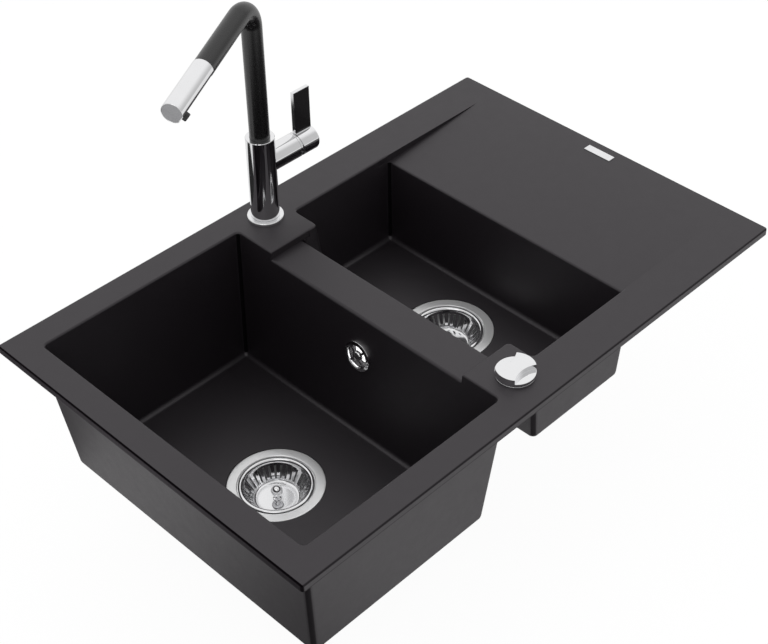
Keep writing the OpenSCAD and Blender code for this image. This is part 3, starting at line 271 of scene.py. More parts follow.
def shaded(obj, angle):
    """Shades smooth across edges that turn less than the angle in degrees."""
    only(obj)
    bpy.ops.object.shade_smooth_by_angle(angle=math.radians(angle))
    return obj


def bevelled(obj, width, angle=30, segments=3):
    """Rounds the arrises and shades the faces between them smooth."""
    applied(
        obj, "BEVEL", width=width, segments=segments, limit_method="ANGLE",
        angle_limit=math.radians(angle), use_clamp_overlap=True, miter_outer="MITER_ARC")
    only(obj)
    bpy.ops.object.shade_smooth()
    applied(obj, "WEIGHTED_NORMAL", weight=80, keep_sharp=True)
    return obj


def copied(node, name):
    """A copy of a CAD node with its loose triangles joined up and its flat faces whole."""
    obj = bpy.data.objects.new(name, NODES[node].data.copy())
    bpy.context.scene.collection.objects.link(obj)
    only(obj)
    bpy.ops.object.mode_set(mode="EDIT")
    bpy.ops.mesh.customdata_custom_splitnormals_clear()
    bpy.ops.mesh.select_all(action="SELECT")
    bpy.ops.mesh.remove_doubles(threshold=0.000005)
    bpy.ops.mesh.dissolve_limited(angle_limit=math.radians(0.3))
    bpy.ops.object.mode_set(mode="OBJECT")
    return obj


def route(name, points):
    """A curve through points in mm."""
    data = bpy.data.curves.new(name, "CURVE")
    data.dimensions = "3D"
    line = data.splines.new("POLY")
    line.points.add(len(points) - 1)
    for knot, point in zip(line.points, points):
        knot.co = (*(Vector(point) * MM), 1)
    obj = bpy.data.objects.new(name, data)
    bpy.context.scene.collection.objects.link(obj)
    return obj


def smoothed(points, steps):
    """Points on a smooth line through all but the first and last of a few."""
    places = []
    for a, b, c, d in zip(points, points[1:], points[2:], points[3:]):
        a, b, c, d = Vector(a), Vector(b), Vector(c), Vector(d)
        for i in range(steps):
            t = i / steps
            places.append(
                0.5 * (2 * b + (c - a) * t + (2 * a - 5 * b + 4 * c - d) * t ** 2
                    + (3 * b - a - 3 * c + d) * t ** 3))
    return [*places, Vector(points[-2])]


# Finishes, whose directions, places and sizes are in metres


LENGTHWISE = (1, 0, 0)
FRONT_TO_BACK = (0, 1, 0)
UPRIGHT = (0, 0, 1)
LEVEL = (1, 1, 0)
ACROSS = (0, 1, 1)
FRONT_LEFT = (-math.sqrt(0.5), -math.sqrt(0.5), 0)
MIDDLE = (0, 0, 0)
ELBOW_BORE = (-0.058, 0, -0.0575)


class Value:
    """A shader socket on which arithmetic adds Math nodes."""

    def __init__(self, nodes, socket):
        self.nodes = nodes
        self.socket = socket

    def math(self, operation, other):
        return self.nodes.add("ShaderNodeMath", {"operation": operation}, {0: self, 1: other})

    def __add__(self, other):
        return self.math("ADD", other)

    def __mul__(self, other):
        return self.math("MULTIPLY", other)

    def __rsub__(self, other):
        return self * -1 + other

    __radd__ = __add__
    __rmul__ = __mul__


class Nodes:
    """A node tree, to which each call adds one node."""

    def __init__(self, tree):
        self.tree = tree

    def feed(self, socket, value):
        if isinstance(value, Value):
            self.tree.links.new(value.socket, socket)
        elif isinstance(value, (tuple, list)) and socket.type == "RGBA":
            socket.default_value = (*value[:3], 1)
        else:
            socket.default_value = value

    def add(self, kind, settings=None, sockets=None, out=0):
        node = self.tree.nodes.new(kind)
        for key, value in (settings or {}).items():
            setattr(node, key, value)
        for key, value in (sockets or {}).items():
            self.feed(node.inputs[key], value)
        return Value(self, node.outputs[out])

    def along(self, vector, way):
        """A vector's length along a direction."""
        return self.add(
            "ShaderNodeVectorMath", {"operation": "DOT_PRODUCT"}, {0: vector, 1: way}, out="Value")

    def rise(self, value, least, most, low=0, high=1):
        """Goes smoothly from low to high as the value goes from least to most."""
        return self.add(
            "ShaderNodeMapRange", {"interpolation_type": "SMOOTHSTEP"},
            {"Value": value, "From Min": least, "From Max": most, "To Min": low, "To Max": high})


class Finish(Nodes):
    """A material built round one Principled shader."""

    def __init__(self, name, **sockets):
        self.material = bpy.data.materials.new(name)
        self.material.use_nodes = True
        super().__init__(self.material.node_tree)
        self.shader = self.tree.nodes["Principled BSDF"]
        self.place = self.add("ShaderNodeTexCoord", out="Object")
        self.set(**sockets)

    def set(self, **sockets):
        for key, value in sockets.items():
            self.feed(self.shader.inputs[key.replace("_", " ")], value)

    def spot(self, stretch=(1, 1, 1), centre=(0, 0, 0)):
        """The place on the piece, measured from a centre and stretched."""
        shift = tuple(-a * b for a, b in zip(stretch, centre))
        return self.add(
            "ShaderNodeMapping", {},
            {"Vector": self.place, "Scale": stretch, "Location": shift})

    def noise(self, size, detail=2, stretch=(1, 1, 1)):
        """Noise with grains about size metres across."""
        return self.add(
            "ShaderNodeTexNoise", {},
            {"Vector": self.spot(stretch), "Scale": 1 / size, "Detail": detail,
                "Roughness": 0.6})

    def rings(self, size, centre):
        """Noise in rings about an upright axis through a centre."""
        return self.add(
            "ShaderNodeTexNoise", {"noise_dimensions": "1D"},
            {"W": self.away(centre), "Scale": 1 / size, "Detail": 3})

    def away(self, centre, across=LEVEL):
        """Distance from a centre, counted across some axes only."""
        return self.add(
            "ShaderNodeVectorMath", {"operation": "LENGTH"},
            {0: self.spot(across, centre)}, out="Value")

    def patch(self, centre, inner, outer, across=LEVEL):
        """A soft patch, 1 within the inner distance and 0 past the outer one."""
        return self.rise(self.away(centre, across), outer, inner)

    def toward(self, way, least, most):
        """How far faces turn one way, 0 at the least cosine and 1 at the most."""
        normal = self.add("ShaderNodeTexCoord", out="Normal")
        return self.rise(self.along(normal, way), least, most)

    def blend(self, factor, first, second):
        return self.add(
            "ShaderNodeMix", {"data_type": "RGBA"}, {0: factor, 6: first, 7: second}, out=2)

    def relief(self, height, depth, strength):
        return self.add(
            "ShaderNodeBump", {}, {"Height": height, "Distance": depth, "Strength": strength})


def shade(colour, factor):
    return tuple(min(1, channel * factor) for channel in colour)


def composite_finish(colour, grain):
    """Speckled composite, with painted shade: near black bands on the deck's edge and on faces
    that turn front left.

    The deck's ends have a wide band of painted shade and its sides a narrow one, both above a low
    line.
    """
    f = Finish("Granite composite")
    grains = f.noise(grain, 3)
    clouds = f.noise(0.014, 3)
    speckle = grains * 0.7 + clouds * 0.3
    reach, depth = CAD_BOUNDS[1].xy
    inset, fade = 0.0022, 0.0006
    ends = 1 - f.patch(MIDDLE, reach - inset, reach - inset + fade, LENGTHWISE)
    sides = 1 - f.patch(MIDDLE, depth - inset, depth - inset + fade, FRONT_TO_BACK)
    wide = f.patch((0, 0, 0.0064), 0.0037, 0.0044, UPRIGHT)
    narrow = f.patch((0, 0, 0.0092), 0.0005, 0.0012, UPRIGHT)
    low = f.patch((0, 0, 0.001), 0.0008, 0.0018, UPRIGHT)
    # Bands of painted shade along the deck's edge: a wide one and a low line on the ends, a narrow
    # one and a low line on the sides
    edge = ends * (wide + low * 0.7) + (1 - ends) * sides * (narrow * 0.6 + low * 0.5)
    # Painted shade on faces that turn front left, such as the shell's rounded corner
    corner_shade = f.toward(FRONT_LEFT, 0.87, 0.95) * 0.85
    shadow = 1 - (1 - corner_shade) * (1 - edge)
    body = f.blend(speckle, shade(colour, 0.72), shade(colour, 1.3))
    # The painted shade darkens the base colour and makes the surface metallic, so the bands lose
    # their sheen and render near black
    f.set(
        Base_Color=f.blend(shadow, body, shade(colour, 0.4)),
        Metallic=shadow,
        Roughness=grains * 0.14 + clouds * 0.1 + 0.34,
        Normal=f.relief(grains, 0.0002, 0.35),
        Specular_IOR_Level=0.76,
        Specular_Tint=(1, 0.955, 1),
    )
    return f.material


def chrome_finish(name, colour, roughness, wave=0.02):
    f = Finish(name, Metallic=1)
    smear = f.noise(0.03, 2)
    fine = f.noise(0.0008, 2)
    f.set(
        Base_Color=f.blend(smear, shade(colour, 0.97), shade(colour, 1.02)),
        Roughness=smear * 0.03 + roughness,
        Normal=f.relief(fine, 0.00001, wave),
    )
    return f.material


def brushed_finish(name, colour, centre):
    f = Finish(name, Metallic=0.6)
    lines = f.rings(0.0006, tuple(c * MM for c in centre))
    smear = f.noise(0.02, 2)
    f.set(
        Base_Color=f.blend(lines, shade(colour, 1.05), shade(colour, 1.19)),
        Roughness=lines * 0.12 + smear * 0.05 + 0.14,
        Normal=f.relief(lines, 0.00004, 0.4),
    )
    return f.material


def metal_finish(name, colour, roughness, stretch=(1, 1, 1)):
    f = Finish(name, Metallic=1)
    grain = f.noise(0.0015, 3, stretch)
    patches = f.noise(0.02, 2)
    f.set(
        Base_Color=f.blend(patches, shade(colour, 0.88), shade(colour, 1.08)),
        Roughness=grain * 0.14 + (roughness - 0.07),
        Normal=f.relief(grain, 0.00005, 0.3),
    )
    return f.material


def plastic_finish(name, colour, roughness, grain=0.0007, depth=0.00005):
    f = Finish(name)
    texture = f.noise(grain, 3)
    patches = f.noise(0.03, 2)
    f.set(
        Base_Color=f.blend(patches, shade(colour, 0.85), shade(colour, 1.15)),
        Roughness=texture * 0.12 + (roughness - 0.06),
        Normal=f.relief(texture, depth, 0.35),
    )
    return f.material


def glowing_plastic_finish(name, colour, glow):
    """Pale plastic whose bore glows with painted light, so the overflow's opening looks lit from
    inside.
    """
    f = Finish(name, Roughness=0.45, Emission_Strength=glow)
    cloud = f.noise(0.012, 2)
    tint = f.blend(cloud, shade(colour, 0.92), shade(colour, 1.06))
    # Painted glow inside the elbow's bore, which shows through the rosette's windows
    bore = f.patch(ELBOW_BORE, 0.0163, 0.0173, ACROSS)
    depth = f.patch(ELBOW_BORE, 0.0118, 0.0128, LENGTHWISE)
    f.set(Base_Color=tint, Emission_Color=f.blend(bore * depth, (0, 0, 0), tint))
    return f.material


def paint_finish(name, colour, roughness):
    f = Finish(name, Specular_IOR_Level=0.66)
    peel = f.noise(0.004, 2)
    patches = f.noise(0.05, 2)
    f.set(
        Base_Color=f.blend(patches, shade(colour, 0.9), shade(colour, 1.1)),
        Roughness=peel * 0.06 + (roughness - 0.03),
        Normal=f.relief(peel, 0.00002, 0.1),
    )
    return f.material


def make_finishes(colours):
    return {
        "sink": composite_finish(colours.composite, colours.composite_grain),
        "chrome": chrome_finish("Chrome", colours.chrome, 0.04),
        "bright_steel": chrome_finish("Bright steel", colours.steel, 0.07, 0.04),
        "satin_plate": metal_finish("Satin end plate", (0.36, 0.36, 0.37), 0.3),
        "badge": metal_finish("Badge plate", (0.86, 0.86, 0.87), 0.3, (1, 0.1, 1)),
        "steel": metal_finish("Machined steel", (0.62, 0.62, 0.63), 0.32),
        "brass": metal_finish("Brass", (0.72, 0.52, 0.26), 0.3),
        "rubber": plastic_finish("Rubber", (0.016, 0.016, 0.017), 0.72, 0.0009, 0.0001),
        "black_plastic": plastic_finish("Black plastic", (0.022, 0.022, 0.024), 0.45),
        "grey_plastic": plastic_finish("Grey plastic", (0.16, 0.16, 0.165), 0.5),
        # White plastic whose bore glows with painted light
        "glowing_white": glowing_plastic_finish("White plastic with painted glow", (0.86, 0.86, 0.86), 0.75),
        "white_plastic": plastic_finish("White plastic", (0.68, 0.67, 0.63), 0.42),
        "black_paint": paint_finish("Satin black coating", colours.spout, 0.27),
        "black_gloss": paint_finish("Gloss black", colours.inlay, 0.14),
        "main_flange": brushed_finish("Main waste steel", colours.steel, MAIN_DRAIN),
        "half_flange": brushed_finish("Half waste steel", colours.steel, HALF_DRAIN),
    }


FINISHES = {}


def piece(obj, body, slot, *nodes, finish=None):
    """Gives a piece its finish, hangs it on the empty of the body it moves with, and hides the CAD
    nodes it stands in for.
    """
    obj.data.materials.clear()
    obj.data.materials.append(FINISHES[finish or slot])
    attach(obj, body)
    if nodes:
        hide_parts(*nodes)
    return obj


def evened(obj, angle):
    """Shades a piece smooth and keeps its large faces flat."""
    return applied(shaded(obj, angle), "WEIGHTED_NORMAL", weight=60, keep_sharp=True)


def dressed(node, body, slot, width=0.0003, angle=30, finish=None):
    """Stands a copy of a CAD node in for it, bevelled unless the width is 0."""
    obj = copied(node, node + "_dressed")
    if width:
        bevelled(obj, width, angle, 2)
    else:
        evened(obj, angle)
    return piece(obj, body, slot, node, finish=finish)


# Pieces


class SINK_OT_casting(bpy.types.Operator):
    """Dresses the casting, with its seal and badge plate"""
    bl_idname = "sink.casting"
    bl_label = "Casting"

    def execute(self, context):
        casting = evened(copied("sink_casting", "sink_shell"), 35)
        piece(casting, "sink", "sink", "sink_casting")
        dressed("rim_seal", "sink", "rubber", 0.0004)
        low, high = (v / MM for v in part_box("badge_plate"))
        badge = block("badge_face", low, high)
        applied(
            badge, "BEVEL", width=0.0009, segments=4, limit_method="ANGLE",
            angle_limit=math.radians(30))
        only(badge)
        bpy.ops.object.shade_smooth()
        applied(badge, "WEIGHTED_NORMAL", weight=80)
        piece(badge, "sink", "badge", "badge_plate")
        return {"FINISHED"}


def flange(name, place, finish, node):
    """A waste's flange with the perforated cup below it, turned from one section."""
    outline = [
        (5, -38), (44, -38), (44, -6.6), (48.3, -1.6), (58.5, -1.6), (58.5, -0.1), (58.2, 0.15),
        (57, 0.4), (48.6, 0.4), (47.2, 0.3), (46.5, -0.2), (46.5, -2.3), (42.2, -2.3),
        (42.2, -33), (39.5, -36.2), (5, -36.2), (5, -38),
    ]
    body = turned(name, outline, 128, section=True)
    holes = []
    count, radius, spread = 6, 8.8, 26.4
    for i in range(count):
        hole = turned("cup_hole", [(radius, -40), (radius, -34)], 32)
        holes.append(moved(hole, turn(math.tau * i / count, "Z") @ at(spread, 0, 0)))
    combined(body, holes)
    bevelled(body, 0.0003, 28)
    return piece(moved(body, place), "sink", "steel", node, finish=finish)


def basket(name, place, body, node, sizes):
    """A pressed cup whose wall has lost every slot's faces, thickened afterwards."""
    columns, slot_columns = 6, (2, 3)
    sides = sizes.slots * columns
    slot_foot, slot_head = (29.2, -19.6), (37.6, -6)
    rows = [
        (3.2, -23.5), (10, -23.5), (18, -23.5), (25, -23.5), (27.2, -23), (28.3, -21.6),
        slot_foot, slot_head, (38.9, -3.8), (39.5, -2.2), (40, -1), (41, 0.1),
        (42.2, 0.5), (43.4, 0.4), (44.4, -0.1), (44.9, -0.7),
    ]
    cup = turned(name, rows, sides, section=True)
    only(cup)
    bpy.ops.object.mode_set(mode="EDIT")
    bpy.ops.mesh.select_mode(type="FACE")
    bpy.ops.mesh.select_all(action="DESELECT")
    bpy.ops.object.mode_set(mode="OBJECT")
    for face in cup.data.polygons:
        away = face.center.to_2d().length / MM
        column = int(math.atan2(face.center.y, face.center.x) / math.tau * sides) % columns
        face.select = slot_foot[0] < away < slot_head[0] and column in slot_columns
    bpy.ops.object.mode_set(mode="EDIT")
    bpy.ops.mesh.delete(type="FACE")
    bpy.ops.object.mode_set(mode="OBJECT")
    applied(cup, "SOLIDIFY", thickness=sizes.sheet, offset=0, use_even_offset=True)
    bevelled(cup, 0.00015, 40, 2)
    return piece(moved(cup, place), body, "bright_steel", node)


def post(name, place, body, node, ball):
    """A basket's centre post, with its neck, its foot and the ball it is lifted by."""
    top, neck = -4, 3
    radius = ball / 2 / MM
    centre = top - radius
    first, sweep, steps = -62, 152, 14
    ball_rows = [
        (radius * math.cos(a), centre + radius * math.sin(a))
        for a in (math.radians(first + sweep * i / steps) for i in range(steps))
    ]
    rows = [
        (5.5, -26), (5.5, -24.3), (neck, -24.3), (neck, -22.6), (5, -22.6), (5, -21.8),
        (neck, -21.2), (neck, -17.6), *ball_rows, (0, top),
    ]
    stem = bevelled(turned(name, rows, 64), 0.0003, 30)
    return piece(moved(stem, place), body, "bright_steel", node, finish="chrome")


class SINK_OT_wastes(bpy.types.Operator):
    """Models both wastes, with their baskets and the fittings under them"""
    bl_idname = "sink.wastes"
    bl_label = "Wastes"

    def execute(self, context):
        sizes = context.scene.waste_sizes
        for bowl, place in (("main", AT_MAIN), ("half", AT_HALF)):
            strainer = bowl + "_strainer"
            flange(bowl + "_flange", place, bowl + "_flange", bowl + "_waste_flange")
            basket(bowl + "_cup", place, strainer, bowl + "_basket", sizes)
            post(bowl + "_post", place, strainer, bowl + "_basket_post", sizes.ball)
            dressed(bowl + "_basket_seal", strainer, "rubber", 0.0002)
            dressed(bowl + "_waste_gasket", "sink", "rubber", 0.0004)
            dressed(bowl + "_waste_body", "sink", "black_plastic", 0, 35)
            dressed(bowl + "_tie_screw", "sink", "steel", 0.0003)
        dressed("lift_pin", "pin", "bright_steel", 0.0003)
        dressed("lift_crank", "crank", "steel", 0.0003)
        dressed("crank_cover", "sink", "black_plastic", 0.0005)
        return {"FINISHED"}


def ribbed_hose():
    """A straight ribbed tube, bent along its route from the elbow to the main waste."""
    arc = HOSE_BEND * math.pi / 2
    length = HOSE_DROP + arc + HOSE_RUN
    cuff, pitch, steps = 22, 5, 6
    bore, rib, wave, bead, outer = 8.4, 10.4, 0.6, 10.6, 11
    ribs = int((length - 2 * cuff) / pitch)
    start = (length - ribs * pitch) / 2
    end = length - start
    outside = [
        (rib - wave * math.cos(math.tau * i / steps), start + pitch * i / steps)
        for i in range(ribs * steps + 1)
    ]
    inside = [(bore, length - length * i / 40) for i in range(41)]
    rows = [
        (bore, 0), (outer, 0), (outer, start - 1.5), (bead, start - 0.6), *outside,
        (bead, end + 0.6), (outer, end + 1.5), (outer, length), *inside,
    ]
    hose = turned("ribbed_hose", rows, 36, section=True)
    x, y, z = HOSE_TOP
    bend = [
        (x - HOSE_BEND * (1 - math.cos(a)), y, z - HOSE_DROP - HOSE_BEND * math.sin(a))
        for a in (math.pi / 2 * i / 16 for i in range(17))
    ]
    path = route("hose_route", [HOSE_TOP, *bend, (bend[-1][0] - HOSE_RUN, y, bend[-1][2])])
    applied(hose, "CURVE", object=path, deform_axis="POS_Z")
    bpy.data.objects.remove(path)
    return piece(shaded(hose, 40), "sink", "grey_plastic", "overflow_hose")


class SINK_OT_overflow(bpy.types.Operator):
    """Models the overflow's rosette, screw, elbow and ribbed hose"""
    bl_idname = "sink.overflow"
    bl_label = "Overflow"

    def execute(self, context):
        rows = [
            (2.1, 0), (20, 0), (20, 2.4), (19.8, 2.8), (19.3, 3.05), (16.2, 3.8), (15.7, 3.8),
            (15.3, 3.5), (15.2, 2.8), (6.6, 2.8), (6.2, 3.5), (5.9, 3.8), (5.4, 3.9), (4.3, 3.9),
            (4.1, 3.7), (4.1, 2.5), (2.1, 2.5), (2.1, 0),
        ]
        ring = turned("overflow_ring", rows, 96, section=True)
        window_outer, window_inner, bar_half = 15, 7, 1.5
        windows = turned("windows", [(window_outer, -1), (window_outer, 5)], 64)
        bars = [turned("window_middle", [(window_inner, -2), (window_inner, 6)], 64)]
        for side in (45, 135):
            bar = block("window_bar", (-20, -bar_half, -2), (20, bar_half, 6))
            bars.append(moved(bar, turn(math.radians(side), "Z")))
        combined(windows, bars)
        combined(ring, [windows])
        shaded(ring, 30)
        piece(moved(ring, AT_OVERFLOW), "sink", "chrome", "overflow_rosette")
        dressed("overflow_screw", "sink", "steel", 0.0002)
        dressed("overflow_gasket", "sink", "rubber", 0.0003)
        # The elbow's bore glows with painted light, seen through the rosette's windows
        dressed("overflow_elbow", "sink", "white_plastic", 0.0005, finish="glowing_white")
        ribbed_hose()
        return {"FINISHED"}


class SINK_OT_knob(bpy.types.Operator):
    """Models the waste control's knob and the fittings under the deck"""
    bl_idname = "sink.knob"
    bl_label = "Control knob"

    def execute(self, context):
        radius, low, high = 23.25, 1.8, 12
        bite_radius, bite_floor, bite_away = 34, 5.8, 43.5
        grip = turned("knob_grip", [(radius, low), (radius, high)], 160)
        bites = []
        for side in (-1, 1):
            bite = turned("bite", [(bite_radius, bite_floor), (bite_radius, high + 8)], 160)
            bites.append(moved(bite, at(0, side * bite_away, 0)))
        combined(grip, bites)
        bevelled(grip, 0.0008, 30, 4)
        piece(moved(grip, AT_KNOB), "knob", "chrome", "control_knob")
        bore, stem, rim, foot, thick = 4.05, 14.5, 23.1, -30, 1.5
        plate = turned(
            "knob_plate",
            [(bore, foot), (stem, foot), (stem, 0), (rim, 0), (rim, thick), (bore, thick),
                (bore, foot)],
            128, section=True)
        bevelled(plate, 0.0004, 30)
        piece(moved(plate, AT_KNOB), "sink", "chrome", "control_base")
        dressed("control_spindle", "knob", "steel")
        dressed("control_gasket", "sink", "rubber")
        dressed("control_nut", "sink", "black_plastic", 0.0005)
        dressed("control_housing", "sink", "black_plastic", 0.0005)
        sheath = route("control_sheath", smoothed(CABLE_ROUTE, 8))
        sheath.data.bevel_depth = 0.0025
        sheath.data.bevel_resolution = 5
        sheath.data.use_fill_caps = True
        only(sheath)
        bpy.ops.object.convert(target="MESH")
        piece(shaded(bpy.context.object, 40), "sink", "black_plastic", "control_cable")
        return {"FINISHED"}


class SINK_OT_tap(bpy.types.Operator):
    """Models the tap's base ring and chrome body, and the fittings under it"""
    bl_idname = "sink.tap"
    bl_label = "Tap body"

    def execute(self, context):
        arris = context.scene.tap_sizes.arris
        base_bore, base_radius, base_top = 14.1, 23, 14.9
        base = turned(
            "base_ring",
            [(base_bore, DECK_TOP), (base_radius, DECK_TOP), (base_radius, 14), (22.2, base_top),
                (base_bore, base_top), (base_bore, DECK_TOP)],
            128, section=True)
        bevelled(base, 0.0004)
        piece(moved(base, AT_TAP), "sink", "chrome", "tap_base_ring")
        bore, radius, low, high = 12.7, 18, 15, 130.5
        side_radius, side_reach = 15.9, 52
        body = turned(
            "tap_column",
            [(bore, low), (17.7, low), (radius, 15.4), (radius, 129.9), (17.4, high),
                (bore, high), (bore, low)],
            160, section=True)
        side = moved(
            turned(
                "side_housing",
                [(side_radius, 6), (side_radius, 51.4), (15.3, side_reach), (bore, side_reach),
                    (bore, 20)],
                128),
            at(0, 0, LEVER_HEIGHT) @ turn(math.pi / 2, "Y"))
        combined(body, [side], "UNION")
        bevelled(body, arris, 32)
        piece(moved(body, AT_TAP), "sink", "chrome", "tap_body")
        for node, slot in (
            ("tap_shank", "brass"), ("tap_gasket", "rubber"), ("tap_washer", "steel"),
            ("tap_nut", "brass"), ("tap_cartridge", "white_plastic"), ("cartridge_nut", "brass"),
        ):
            dressed(node, "sink", slot)
        return {"FINISHED"}


def ring_height(tube):
    """Height in metres of the ring that was extruded last."""
    tube.update_from_editmode()
    picked = [v.co.z for v in tube.data.vertices if v.select]
    return max(picked) + tube.location.z


class SINK_OT_spout(bpy.types.Operator):
    """Models the spout's tube by extruding up, spinning the bend and extruding the arm"""
    bl_idname = "sink.spout"
    bl_label = "Spout"

    def execute(self, context):
        sizes = context.scene.tap_sizes
        radius, wall = 12.48, 2
        bend = math.pi / 2 + ARM_PITCH
        reach = BEND_RADIUS * math.tan(bend / 2)
        bend_low = SPOUT_TOP - reach
        way = Vector((math.cos(ARM_TURN), math.sin(ARM_TURN), 0))
        clear()
        bpy.ops.mesh.primitive_circle_add(
            vertices=96, radius=radius * MM, location=Vector((*TAP, SPOUT_LOW)) * MM,
            enter_editmode=True)
        tube = bpy.context.object
        tube.name = "spout_pipe"
        bpy.ops.mesh.select_mode(type="EDGE")
        bpy.ops.mesh.select_all(action="SELECT")
        for height in (SPOUT_LOW + 60, SPOUT_LOW + 120, bend_low):
            low = ring_height(tube)
            bpy.ops.mesh.extrude_edges_move(
                TRANSFORM_OT_translate={"value": (0, 0, height * MM - low)})
        centre = Vector((*TAP, bend_low)) * MM + way * BEND_RADIUS * MM
        axis = Vector((0, 0, 1)).cross(way)
        bpy.ops.mesh.spin(
            steps=sizes.bend_steps, dupli=False, angle=-bend, center=centre, axis=axis)
        along = Vector((
            math.cos(ARM_TURN) * math.cos(ARM_PITCH), math.sin(ARM_TURN) * math.cos(ARM_PITCH),
            -math.sin(ARM_PITCH)))
        step = along * (ARM_LENGTH - reach) * 0.5 * MM
        for _ in range(2):
            bpy.ops.mesh.extrude_edges_move(TRANSFORM_OT_translate={"value": step})
        bpy.ops.mesh.select_all(action="SELECT")
        bpy.ops.mesh.remove_doubles(threshold=0.00001)
        bpy.ops.mesh.normals_make_consistent(inside=False)
        bpy.ops.object.mode_set(mode="OBJECT")
        bpy.ops.object.transform_apply(location=True, rotation=True, scale=True)
        applied(tube, "SOLIDIFY", thickness=wall * MM, offset=-1)
        bevelled(tube, 0.0003, 50)
        piece(tube, "spout", "black_paint", "spout_tube")
        dressed("spout_bush", "spout", "white_plastic")
        dressed("spray_hose", "hose_end", "grey_plastic")
        return {"FINISHED"}


def neck_cutter(height):
    """Cuts the nozzle's hole from inside the head out through its flat."""
    cutter = turned("neck_cut", [(5.05, 4), (5.05, 16)], 48)
    return moved(cutter, at(0, 0, height) @ turn(math.pi / 2, "Y"))


class SINK_OT_spray(bpy.types.Operator):
    """Models the spray head with its flat, strip, cap and nozzle"""
    bl_idname = "sink.spray"
    bl_label = "Spray head"

    def execute(self, context):
        low, high = ARM_LENGTH + 0.3, ARM_LENGTH + 79
        radius, shell, bore = 13, 10, 7.6
        flat, strip_depth, strip_half = 11.7, 0.8, 5.6
        cap, neck = high - 2, high - 8.5

        def flat_cutter(depth):
            return block("flat_cut", (flat - depth, -14, low - 1), (20, 14, high + 1))

        sleeve = turned(
            "spray_sleeve",
            [(bore, low), (radius, low), (radius, cap), (shell, cap), (shell, low + 14),
                (bore, low + 14), (bore, low)],
            128, section=True)
        combined(sleeve, [flat_cutter(strip_depth), neck_cutter(neck)])
        bevelled(sleeve, 0.0004, 30)
        piece(moved(sleeve, AT_FLAT), "spray", "chrome", "spray_head")
        strip = block(
            "spray_band", (flat - strip_depth, -strip_half, low), (flat, strip_half, cap - 0.1))
        combined(strip, [neck_cutter(neck)])
        bevelled(strip, 0.0002, 30)
        piece(moved(strip, AT_FLAT), "spray", "black_gloss", "spray_strip")
        plug = 9.9
        rim = turned(
            "spray_rim",
            [(plug, cap - 2), (plug, cap), (radius, cap), (radius, high - 0.35), (12.7, high),
                (12.3, high), (12, high - 0.5), (plug, high - 0.5)],
            128)
        combined(rim, [flat_cutter(0)])
        bevelled(rim, 0.0002, 30)
        piece(moved(rim, AT_FLAT), "spray", "bright_steel", "spray_cap", finish="chrome")
        face = turned(
            "spray_face", [(11.9, high - 0.45), (11.9, high - 0.2), (11.7, high - 0.1)], 128)
        combined(face, [flat_cutter(0.9)])
        bevelled(face, 0.00008, 30)
        piece(moved(face, AT_FLAT), "spray", "bright_steel", finish="satin_plate")
        nozzle = turned(
            "spray_jet",
            [(3.5, 5), (5, 5), (5, 15.7), (4.4, 16.6), (3.6, 16.6), (3.5, 15.6), (3.5, 5)],
            64, section=True)
        bevelled(nozzle, 0.0002, 30)
        nozzle = moved(nozzle, at(0, 0, neck) @ turn(math.pi / 2, "Y"))
        piece(moved(nozzle, AT_FLAT), "spray", "black_plastic", "spray_nozzle")
        return {"FINISHED"}


class SINK_OT_lever(bpy.types.Operator):
    """Models the lever's dome, hub, blade and black plates"""
    bl_idname = "sink.lever"
    bl_label = "Lever"

    def execute(self, context):
        dressed("lever_dome", "rotor", "chrome", 0.0009, 50)
        dressed("cartridge_rotor", "rotor", "white_plastic")
        dressed("lever_stem", "lever", "brass")
        dressed("lever_hub", "lever", "chrome", 0.0007)
        dressed("lever_inlay", "lever", "black_gloss", 0.0002)
        dressed("lever_grub_screw", "lever", "steel", 0.0002)
        return {"FINISHED"}


# Studio


BRIGHT_WALL = (0.571, 0.536, 0.621)
FLOOR_PALE = (0.9, 0.9, 0.9)
# Colour of the floor's patches of painted shade
FLOOR_DARK = (0.03, 0.03, 0.03)
PHOTO_WIDTH, PHOTO_HEIGHT = 768, 644
FOCUS_PIXELS = 1629.129
CENTRE_PIXEL = (435.989, 252.219)
CAMERA_PLACE = Vector((-1.05447, -1.0478, 1.23649))
CAMERA_AZIMUTH = math.radians(-46.804)
CAMERA_ELEVATION = math.radians(38.408)
CAMERA_ROLL = math.radians(0.34)


def camera_axes():
    a, e = CAMERA_AZIMUTH, CAMERA_ELEVATION
    back = Vector((math.sin(a) * math.cos(e), -math.cos(a) * math.cos(e), math.sin(e)))
    level = Vector((math.cos(a), math.sin(a), 0))
    above = back.cross(level)
    right = level * math.cos(CAMERA_ROLL) + above * math.sin(CAMERA_ROLL)
    return right, back.cross(right), back


def soft_box(name, place, target, size, power):
    lamp = bpy.data.lights.new(name, "AREA")
    lamp.shape = "RECTANGLE"
    lamp.size, lamp.size_y = size
    lamp.energy = power
    obj = bpy.data.objects.new(name, lamp)
    bpy.context.scene.collection.objects.link(obj)
    obj.location = place
    obj.rotation_euler = (Vector(target) - Vector(place)).to_track_quat("-Z", "Y").to_euler()
    return obj


